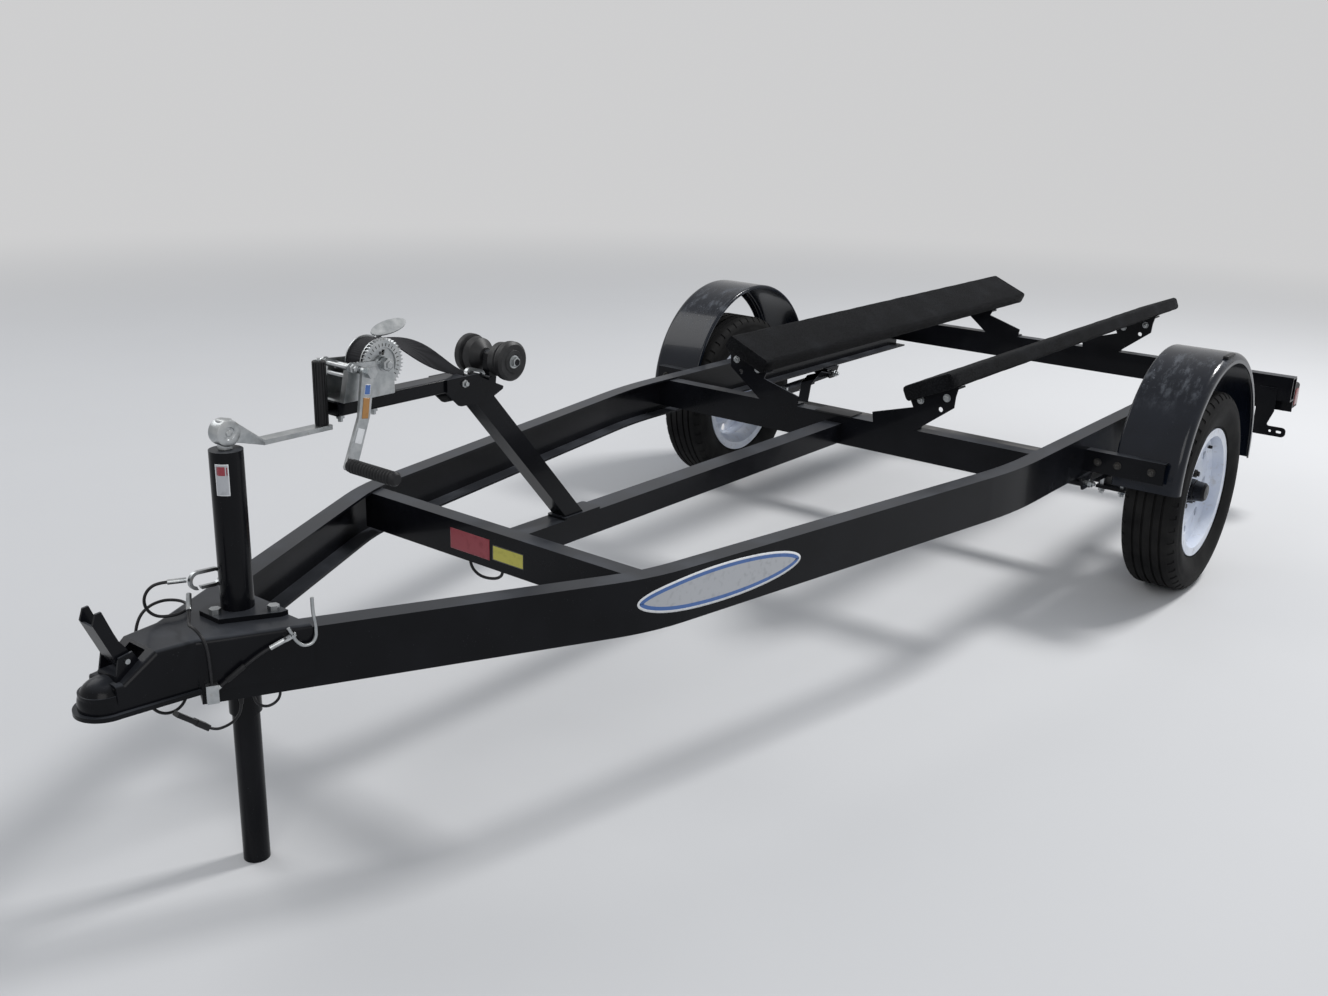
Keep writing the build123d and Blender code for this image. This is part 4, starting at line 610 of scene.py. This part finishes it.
def sticker(name, size, place, facing, body, onto, border, field, oval=None, turn=0):
    """A blank label laid on a node: a border and a plain field, or an oval with a coloured band.

    Its size is in millimetres and its turn in degrees."""
    if oval:
        piece = begin("circle", vertices=72, radius=0.5, fill_type="NGON")
    else:
        piece = begin("grid", x_subdivisions=8, y_subdivisions=8, size=1)
    bpy.ops.mesh.select_mode(type="EDGE")
    bpy.ops.mesh.select_all(action="SELECT")
    bpy.ops.transform.resize(value=(size[0] * MM, size[1] * MM, 1))
    piece.data.materials.append(border)
    piece.data.materials.append(field)
    edge = 0.06 * min(size) * MM
    bpy.ops.mesh.inset(thickness=edge, depth=0)
    piece.active_material_index = 1
    bpy.ops.object.material_slot_assign()
    if oval:
        piece.data.materials.append(oval)
        piece.active_material_index = 2
        bpy.ops.object.material_slot_assign()
        bpy.ops.mesh.inset(thickness=edge * 1.6, depth=0)
        piece.active_material_index = 1
        bpy.ops.object.material_slot_assign()
        strips, width = 20, size[0] * MM
        for cut in range(1, strips):
            bpy.ops.mesh.select_all(action="SELECT")
            bpy.ops.mesh.bisect(plane_co=(width * (cut / strips - 0.5), 0, 0), plane_no=(1, 0, 0))
    bpy.ops.object.mode_set(mode="OBJECT")
    piece.matrix_world = stood(place, facing) @ Matrix.Rotation(radians(turn), 4, "Z")
    settle(piece, name, body, "black_paint")
    applied(piece, "SHRINKWRAP", target=NODES[onto], wrap_method="NEAREST_SURFACEPOINT",
            wrap_mode="ABOVE_SURFACE", offset=0.4 * MM)
    applied(piece, "SOLIDIFY", thickness=0.25 * MM, offset=0)
    return piece


# Wheels


def tyre(side, finish):
    """Ribbed trailer tyre: beads, bulged walls, four grooves and cut shoulders."""
    name, centre = SIDES[side], (side * WHEEL_X, AXLE_Y, AXLE_Z)
    wall = [(52, 155), (54.5, 158), (54.5, 166), (53, 172), (57, 177), (59.5, 177.4), (60.5, 180), (65, 190),
            (69.5, 202), (72.4, 213), (73, 220), (72.6, 230), (70.6, 236), (71, 238), (69.6, 243), (67, 250),
            (63.5, 255.5), (59, 260), (54, 263.3), (48, 265)]
    crown = []
    for middle in (34, 12, -12, -34):
        crown += [(middle + 3.2, 265), (middle + 2.2, 259.5), (middle - 2.2, 259.5), (middle - 3.2, 265)]
    inner = [(-47, 160), (-50, 176), (-63, 205), (-66, 222), (-62, 242), (-46, 253), (0, 254.5)]
    section = [*wall, *crown, *mirrored(wall), *inner, *mirrored(inner[:-1]), wall[0]]
    steps, every = 144, 3
    least_across, most_across, least_radius = 0.0555, 0.0655, 0.250
    piece = turned(section, centre, steps=steps)

    def shoulder(middle, way):
        across, radial = abs(middle.x - centre[0]), Vector((0, middle.y - AXLE_Y, middle.z - AXLE_Z))
        on_shoulder = least_across < across < most_across and radial.length > least_radius
        turn = int((atan2(radial.z, radial.y) + pi) / (2 * pi) * steps)
        return way.dot(radial) > 0 and on_shoulder and turn % every == 0

    pick("FACE", shoulder)
    bpy.ops.mesh.inset(thickness=0.5 * MM, depth=-2.2 * MM, use_individual=False)
    return settle(piece, f"ribbed_tyre_{name}", f"wheel_{name}", "tyre_rubber", finish, smooth=40,
                  replaces=[f"tyre_{name}"])


def wheel_nuts(side):
    """Four wheel nuts, the valve and the grease cap's ring."""
    name, ring, valve_out = SIDES[side], 0.0508, 0.098
    nut_face, valve_face, cap_face = (side * face for face in (0.7462, 0.7405, 0.7465))
    nut = hexagon(19, 13, 13, stud=6, reach=5)
    step = ring * sqrt(0.5)
    places = [((nut_face, AXLE_Y + step * back, AXLE_Z + step * high), (side, 0, 0))
              for back, high in ((1, 1), (-1, 1), (-1, -1), (1, -1))]
    fastened(f"wheel_nuts_{name}", nut, places, f"wheel_{name}", FINISHES["dark_nut"])
    bpy.data.objects.remove(nut)
    stem = [(0, 0), (0, 5.6), (3, 5.6), (5, 4.2), (20, 4), (20, 3.2), (23, 3.2), (23, 4.3), (31, 4.3),
            (32, 3.4), (32, 0)]
    valve = turned(stem, (valve_face, AXLE_Y + valve_out, AXLE_Z + valve_out), (side, 0, 0), steps=20)
    settle(valve, f"valve_{name}", f"wheel_{name}", "black_rubber", FINISHES["grip"])
    rim = [(0, 27.6), (2, 30.2), (6, 30.2), (8, 28.6), (8, 27.4), (0, 27.6)]
    cap = turned(rim, (cap_face, AXLE_Y, AXLE_Z), (side, 0, 0), steps=48)
    settle(cap, f"cap_ring_{name}", f"wheel_{name}", "black_paint")


# Bunks


def bunk_middle(side):
    """The middle of a bunk's board."""
    return spot(side * 272.1, 234.5, 114.4)


def carpeted_bunk(side, finish):
    """A board wrapped in carpet: round long edges, swollen ends and a slightly uneven face."""
    name = SIDES[side]
    wide, long, thick = 0.1385, 1.6505, 0.0392
    piece = begin("cube", size=1, scale=(wide, long, thick), rotation=(0, -side * BUNK_TILT, 0),
                  location=bunk_middle(side))
    pick("EDGE", lambda middle, way: abs(way.y) > 0.9)
    bpy.ops.mesh.bevel(offset=0.010, segments=4, affect="EDGES")
    pick("FACE", lambda middle, way: abs(way.y) > 0.9)
    bpy.ops.mesh.inset(thickness=0.004, depth=0.002)
    pick("EDGE", lambda middle, way: abs(way.y) > 0.95)
    bpy.ops.mesh.subdivide(number_cuts=46)
    pick("VERT")
    bpy.ops.transform.vertex_random(offset=0.0007, uniform=0.4, seed=3 + side)
    return settle(piece, f"carpeted_bunk_{name}", "frame", "carpet", finish, smooth=60,
                  replaces=[f"bunk_{name}"])


def carpet_seams(side, finish):
    """The carpet's overlap along the board's underside."""
    out = Vector((side * sin(BUNK_TILT), 0, -cos(BUNK_TILT)))
    along = Vector((cos(BUNK_TILT), 0, side * sin(BUNK_TILT)))
    piece = begin("cube", size=1, scale=(0.030, 1.60, 0.0024), rotation=(0, -side * BUNK_TILT, 0),
                  location=bunk_middle(side) + out * 0.0204 + along * (side * 0.012))
    soften(0.0011, 2)
    settle(piece, f"carpet_seam_{SIDES[side]}", "frame", "carpet", finish, smooth=50)


# Winch

DRUM = spot(0, -2084, 362.8)


def winch_handle(finish):
    """Ribbed rubber sleeve of the winch's crank."""
    low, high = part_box("winch_grip")
    length = (high.x - low.x) / MM
    profile = [(0, 0), (0, 9.4), (1.5, 10.8), (7, 10.8)]
    pitch, crest, groove = 7.0, 11.9, 10.4
    rib = pitch
    while rib < length - 13:
        profile += [(rib + 1.0, crest), (rib + 4.2, crest), (rib + 5.2, groove), (rib + 6.4, groove)]
        rib += pitch
    cap_end = (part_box("winch_crank")[1].x - low.x) / MM + 1.0
    profile += [(length - 7, crest), (length - 2, crest), (length, 10), (cap_end, 8), (cap_end, 0)]
    piece = turned(profile, (low.x, (low.y + high.y) / 2, (low.z + high.z) / 2), steps=40)
    return settle(piece, "winch_handle", "winch_crank", "black_rubber", finish, replaces=["winch_grip"])


def jack_handle(finish):
    """Tall jack handle with fine ribs along it."""
    low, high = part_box("jack_grip")
    middle = (low + high) / 2
    ribs = 32
    piece = begin("cylinder", vertices=ribs, radius=0.0112, depth=high.z - low.z, location=middle)
    pick("FACE", lambda place, way: abs(way.z) > 0.9)
    bpy.ops.mesh.bevel(offset=0.0022, segments=3, affect="EDGES")
    pick("FACE", lambda place, way: abs(way.z) < 0.1 and int(
        (atan2(way.y, way.x) + pi) / (2 * pi) * ribs + 0.001) % 2 == 0)
    bpy.ops.mesh.inset(thickness=0.00018, depth=-0.0014, use_individual=True)
    settle(piece, "jack_handle", "jack_crank", "black_rubber", finish, replaces=["jack_grip"])
    pin = turned([(0, 0), (0, 5), (3, 5), (4.2, 3.8), (4.2, 0)], (middle.x, middle.y, high.z - 0.0005),
                 (0, 0, 1), (1, 0, 0), steps=24)
    settle(pin, "jack_handle_pin", "jack_crank", "zinc")


def gear_slot_shadows(finish):
    """Painted shadow of the short pressed slots round the winch gear's face and of three square holes near
    its middle, as thin dark plates on the face.
    """
    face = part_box("winch_frame")[1].x - 4.35 * MM
    there, back = Matrix.Translation(DRUM), Matrix.Translation(-DRUM)
    slots = []
    for count, radius, wide, high in ((28, 31.5, 1.4, 5.2), (3, 17, 5, 5)):
        # Each slot or hole is a thin dark plate: painted shadow standing on the gear's face.
        model = begin("cube", size=1, scale=(0.5 * MM, wide * MM, high * MM),
                      location=(face, DRUM.y, DRUM.z + radius * MM))
        soften(0.2 * MM, 1)
        bpy.ops.object.mode_set(mode="OBJECT")
        slots += [twin_of(model, there @ Matrix.Rotation(2 * pi * tooth / count, 4, "X") @ back)
                  for tooth in range(count)]
        bpy.data.objects.remove(model)
    return settle(joined(slots), "gear_slot_shadows", "winch_drum", "zinc", finish)


def strap(finish):
    """The webbing from coil to hook: flat at the coil, turned over and gathered at the hook."""
    # Each section gives y, z, half its width and its turn from flat in degrees
    sections = (
        (-2068, 398.5, 14.4, 0), (-2050, 392, 15.0, 12), (-2028, 384, 16.5, 36), (-2005, 375, 18.0, 60),
        (-1982, 364, 19.0, 76), (-1960, 352, 18.5, 84), (-1938, 339, 15.5, 87), (-1915, 326, 11.0, 88),
        (-1895, 315, 7.0, 88), (-1878, 309.5, 5.0, 88))
    beside, within = 0.0045, 0.019
    first = spot(0, *sections[0][:2])
    piece = begin("plane", size=0.001, location=first)
    bpy.ops.mesh.select_mode(type="VERT")
    bpy.ops.mesh.select_all(action="SELECT")
    bpy.ops.mesh.merge(type="CENTER")
    half = sections[0][2] * MM
    bpy.ops.transform.translate(value=(-half, 0, 0))
    for _ in range(4):
        bpy.ops.mesh.extrude_vertices_move(TRANSFORM_OT_translate={"value": (half / 2, 0, 0)})
    for before, after in zip(sections, sections[1:]):
        start, middle = spot(0, *before[:2]), spot(0, *after[:2])
        pick("EDGE", lambda place, way: abs(place.y - start.y) < beside
             and (place - start).length < within and abs(way.y) < 0.3)
        bpy.ops.mesh.extrude_edges_move(TRANSFORM_OT_translate={"value": middle - start})
        scale = after[2] / before[2]
        bpy.ops.transform.resize(value=(scale, scale, scale), center_override=middle)
        bpy.ops.transform.rotate(value=radians(before[3] - after[3]), orient_axis="Y",
                                 center_override=middle)
    bpy.ops.object.mode_set(mode="OBJECT")
    settle(piece, "winch_strap", "frame", "webbing", finish, smooth=60, replaces=["strap_run"])
    applied(piece, "SUBSURF", levels=2, render_levels=2)
    applied(piece, "SOLIDIFY", thickness=1.7 * MM, offset=0)
    return piece


def jack_hub():
    """Riveted disc of the jack crank's hub, and the deep root of its arm."""
    middle = Vector((0, AXLE_Y + JACK_Y * MM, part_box("jack_crank")[1].z - 0.0195))
    half = [(-13.6, 0), (-13.6, 4), (-13, 5), (-11.5, 5.2), (-11.5, 9), (-13, 10), (-13, 18.5),
            (-12, 20.4), (-10, 21)]
    disc = turned(half + mirrored(half), middle, steps=48)
    settle(disc, "jack_hub_disc", "jack_crank", "zinc")
    root = begin("cube", size=1, scale=(0.0248, 0.054, 0.035), location=middle + Vector((0, 0.035, 0.002)))
    pick("FACE", lambda place, way: way.y > 0.9)
    bpy.ops.transform.translate(value=(0, 0, -0.0285))
    bpy.ops.transform.resize(value=(1, 1, 0.25), center_override=middle + Vector((0, 0.062, -0.0265)))
    soften(0.0015, 2)
    settle(root, "jack_arm_root", "jack_crank", "zinc")


def winch_fastenings():
    """The nut on the gear's axle, bolts through the arm, at the strut and at the spacer rods."""
    nut = hexagon(19, 8, 12.5, stud=5.6, reach=2.5)
    fastened("drum_axle_nut", nut, [((0.0322, DRUM.y, DRUM.z), (1, 0, 0))], "winch_drum")
    bpy.data.objects.remove(nut)
    bolt = hexagon(13, 5.5, 9.5, stud=4, reach=5)
    places = [(spot(0, y, 285.8), (0, 0, -1)) for y in (-2155, -2086)]
    places += [(spot(side * 19.1, -1899, 298), (side, 0, 0)) for side in (-1, 1)]
    places += [(spot(side * 32.1, -2154, 366.5), (side, 0, 0)) for side in (-1, 1)]
    fastened("winch_bolts", bolt, places, "frame")
    bpy.data.objects.remove(bolt)


def roller_ends():
    """Bolt heads and domed washers at the ends of the bow rollers' pin."""
    head = hexagon(16, 6, 12)
    places = [(spot(side * 60.4, ROLLER_Y, ROLLER_Z), (side, 0, 0)) for side in (-1, 1)]
    fastened("roller_pin_heads", head, places, "frame")
    bpy.data.objects.remove(head)
    dome = [(0, 13), (0, 21), (1.8, 20), (2.4, 16), (2.4, 13), (0, 13)]
    for side, name in SIDES.items():
        cup = turned(dome, spot(side * 60.1, ROLLER_Y, ROLLER_Z), (side, 0, 0), steps=40)
        settle(cup, f"roller_washer_{name}", f"bow_roller_{name}", "black_rubber")


# Bolts on the frame


def frame_bolts():
    """Bolts at the bunk brackets and the fenders' plates, the U-bolts' nuts and the spring bolts' nuts."""
    small = hexagon(13, 5.5, 10, stud=4, reach=3)
    places = [(spot(side * x, y, z), (0, -1, 0))
              for side in (-1, 1) for x, z in ((245, 75), (315, 92)) for y in (-571.2, 830.8)]
    fastened("bunk_bolts", small, places, "frame")
    places = [(spot(side * x, 6 + end * 329.4, -62), (0, end, 0))
              for side in (-1, 1) for x in (618, 668, 752) for end in (-1, 1)]
    fastened("fender_bolts", small, places, "frame", FINISHES["dark_nut"])
    bpy.data.objects.remove(small)
    large = hexagon(17, 7, 11.5, stud=5, reach=5)
    places = [(spot(side * SPRING_X + edge * 27.5, bolt_y, -211.2), (0, 0, -1))
              for side in (-1, 1) for edge in (-1, 1) for bolt_y in (-33, 33)]
    fastened("axle_nuts", large, places, "frame")
    places = [(spot(side * SPRING_X + edge * 36, end * 318, -122), (edge, 0, 0))
              for side in (-1, 1) for edge in (-1, 1) for end in (-1, 1)]
    fastened("spring_bolt_nuts", large, places, "frame")
    bpy.data.objects.remove(large)


# Lamps


def tail_lamp(side):
    """Black lamp body with a framed red lens, two screws and a side lens."""
    name, centre = SIDES[side], spot(side * 733, 903, -77)
    body = begin("cube", size=1, scale=(0.100, 0.060, 0.080), location=centre)
    soften(0.009, 4, lambda middle, way: abs(way.y) > 0.8)
    pick("FACE", lambda middle, way: way.y > 0.9)
    bpy.ops.mesh.inset(thickness=0.0025, depth=0)
    bpy.ops.mesh.inset(thickness=0.0006, depth=-0.004)
    settle(body, f"lamp_body_{name}", "frame", "black_paint", FINISHES["grip"],
           replaces=[f"tail_light_{name}"])
    glass = begin("cube", size=1, scale=(0.0935, 0.0118, 0.0735), location=centre + Vector((0, 0.0330, 0)))
    soften(0.0085, 4, lambda middle, way: abs(way.y) > 0.8)
    pick("FACE", lambda middle, way: way.y > 0.9)
    bpy.ops.mesh.inset(thickness=0.0014, depth=0.0012)
    bpy.ops.mesh.inset(thickness=0.0030, depth=0)
    bpy.ops.mesh.inset(thickness=0.0008, depth=-0.0012)
    settle(glass, f"lamp_lens_{name}", "frame", "red_lens")
    edge = begin("cube", size=1, scale=(0.003, 0.040, 0.052),
                 location=centre + Vector((side * 0.0508, 0.002, 0)))
    soften(0.0012, 2)
    settle(edge, f"side_lens_{name}", "frame", "red_lens")
    screw = hexagon(5.5, 1.2, 4)
    places = [(centre + Vector((dx, 0.0388, 0)), (0, 1, 0)) for dx in (-0.037, 0.037)]
    fastened(f"lens_screws_{name}", screw, places, "frame")
    bpy.data.objects.remove(screw)


# Small trim


def trim(dark):
    """Edge clip of the near fender, the pad on the middle cross-member and the stop by the far bracket."""
    clip = begin("cube", size=1, scale=(0.014, 0.062, 0.007), location=spot(808.5, -20, 190.5))
    soften(0.0025, 3)
    settle(clip, "fender_clip", "frame", "black_rubber", dark)
    pad = begin("cube", size=1, scale=(0.108, 0.060, 0.0045), location=spot(0, -548, -2.8))
    soften(0.0012, 2)
    settle(pad, "cross_pad", "frame", "black_rubber", dark)
    stop = begin("cube", size=1, scale=(0.030, 0.004, 0.006), location=spot(-98, -568, 14))
    cross_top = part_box("cross_middle")[1].z
    for dx, dz in ((6, 44), (17, 24), (42, 15)):
        pick("FACE", lambda middle, way: way.z > 0.5 and middle.z > cross_top)
        pull(dx * MM, 0, dz * MM)
    weld()
    soften(0.001, 1)
    settle(stop, "bunk_stop", "frame", "black_paint")


def lead_relief(finish):
    """Tapered rubber sleeve where the lead leaves its gland, and the thick sleeve of the near cable."""
    gland = tongue_point(54, 66, -112)
    taper = [(0, 2.4), (0, 4.6), (3, 4.4), (13, 3.1), (13.6, 2.4), (0, 2.4)]
    sleeve = turned(taper, gland, (0, 0, -1), (1, 0, 0), steps=24)
    settle(sleeve, "lead_relief", "frame", "black_rubber", finish)
    first, second = side_point(22, 7, -70), side_point(34, 7.3, -60)
    along = (second - first).normalized()
    tube = [(12, 2.6), (12, 4.0), (13.5, 4.4), (44, 4.4), (46, 3.8), (46, 2.6), (12, 2.6)]
    sleeve = turned(tube, first, along, along.cross(UP).normalized(), steps=24)
    settle(sleeve, "cable_sleeve", "frame", "black_rubber", finish)


def labels():
    """Blank labels where the trailer carries them: plain shapes in their colours."""
    white, sky, red, amber = (FINISHES[f"label_{shade}"] for shade in ("white", "blue", "red", "amber"))
    grey, dark, yellow = (FINISHES[f"label_{shade}"] for shade in ("grey", "dark", "yellow"))
    sticker("rail_oval", (406, 74), spot(424.5, -1640, -47), (1, -0.178, 0), "frame", "rail_left",
            white, grey, oval=sky)
    ahead = (0, -1, 0)
    sticker("cross_label_red", (108, 42), spot(-54, -1821, -44), ahead, "frame", "cross_front", red, red)
    sticker("cross_label_yellow", (82, 31), spot(49, -1821, -46), ahead, "frame", "cross_front",
            dark, yellow)
    facing = Vector((0.62, -0.78, 0)).normalized()
    sticker("jack_label", (24, 50), spot(0, JACK_Y, 228) + facing * 0.029, facing, "frame", "jack_tube",
            white, grey)
    sticker("jack_label_band", (20, 14), spot(0, JACK_Y, 242) + facing * 0.0292, facing, "frame",
            "jack_tube", red, red)
    crank_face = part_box("winch_grip")[0].x / MM - 0.6
    for shade, size, y, z, turn, border, field in (
        ("blue", (12, 17), -2141, 333, -9, white, sky),
        ("amber", (13, 34), -2146, 303, -9, amber, amber),
        ("white", (14, 25), -2161, 259, -21, white, white),
    ):
        sticker(f"crank_label_{shade}", size, spot(crank_face, y, z), (1, 0, 0), "winch_crank",
                "winch_crank", border, field, turn=turn)


# The pieces, each in its turn

cables(FINISHES["cable_jacket"])
for side in (1, -1):
    tyre(side, FINISHES["tyre_rubber"])
    wheel_nuts(side)
    carpeted_bunk(side, FINISHES["carpet"])
    carpet_seams(side, FINISHES["carpet"])
    tail_lamp(side)
winch_handle(FINISHES["grip"])
jack_handle(FINISHES["grip"])
jack_hub()
gear_slot_shadows(FINISHES["dark_nut"])
strap(FINISHES["webbing"])
winch_fastenings()
roller_ends()
frame_bolts()
trim(FINISHES["grip"])
lead_relief(FINISHES["grip"])
labels()


# Floor, backdrop and light

PALE = (0.62, 0.62, 0.625)
SOFT_LIGHT, SOFT_STRENGTH = (0.88, 0.93, 1.0), 0.45
FADE_FROM, FADE_TO = 3.2, 8.5
FLOOR_SIZE, FLOOR_DROP = 80, 0.0005


def floor_finish():
    """Pale floor that fades into the backdrop's colour away from the trailer."""
    paint = Finish("pale_floor", Roughness=0.85, Specular_IOR_Level=0.15)
    paint.feed(Base_Color=paint.mix(paint.noise(2.0), (0.60, 0.60, 0.605), PALE))
    distance = paint.node("ShaderNodeVectorMath", {"operation": "LENGTH"},
                          paint.node("ShaderNodeTexCoord", get="Object"), get="Value")
    glow = paint.node("ShaderNodeEmission", None, Color=(*PALE, 1.0), Strength=1.0)
    plain = Sock(paint, paint.shader.outputs["BSDF"])
    fade = distance.step(FADE_FROM, FADE_TO) * paint.seen()
    paint.show("Material Output", paint.node("ShaderNodeMixShader", None, fade, plain, glow))
    return paint.material


bpy.ops.mesh.primitive_plane_add(size=FLOOR_SIZE, location=(0, 0, -FLOOR_DROP))
floor = bpy.context.object
floor.name = "floor"
floor.data.transform(floor.matrix_world)
floor.matrix_world = Matrix.Identity(4)
floor.data.materials.append(floor_finish())


def sky_light():
    """Soft light from all round, seen as the backdrop's pale colour."""
    world = bpy.data.worlds.new("studio")
    bpy.context.scene.world = world
    world.use_nodes = True
    sky = Nodes(world.node_tree)
    sky.tree.nodes.remove(sky.tree.nodes["Background"])
    soft = sky.node("ShaderNodeBackground", None, Color=(*SOFT_LIGHT, 1), Strength=SOFT_STRENGTH)
    plain = sky.node("ShaderNodeBackground", None, Color=(*PALE, 1))
    sky.show("World Output", sky.node("ShaderNodeMixShader", None, sky.seen(), soft, plain))


sky_light()
for name, place, aim, size, power in (
    ("key_light", (1.9, 4.0, 5.2), (0, -0.2, 0.3), 1.3, 320.0),
    ("fill_light", (3.4, -4.4, 3.6), (0, -0.6, 0.4), 3.4, 80.0),
    ("side_light", (-4.6, -1.6, 4.4), (0, -0.3, 0.4), 3.4, 85.0),
):
    lamp = bpy.data.lights.new(name, "AREA")
    lamp.size, lamp.energy = size, power
    holder = bpy.data.objects.new(name, lamp)
    holder.location = place
    holder.rotation_euler = (Vector(aim) - Vector(place)).to_track_quat("-Z", "Y").to_euler()
    bpy.context.scene.collection.objects.link(holder)
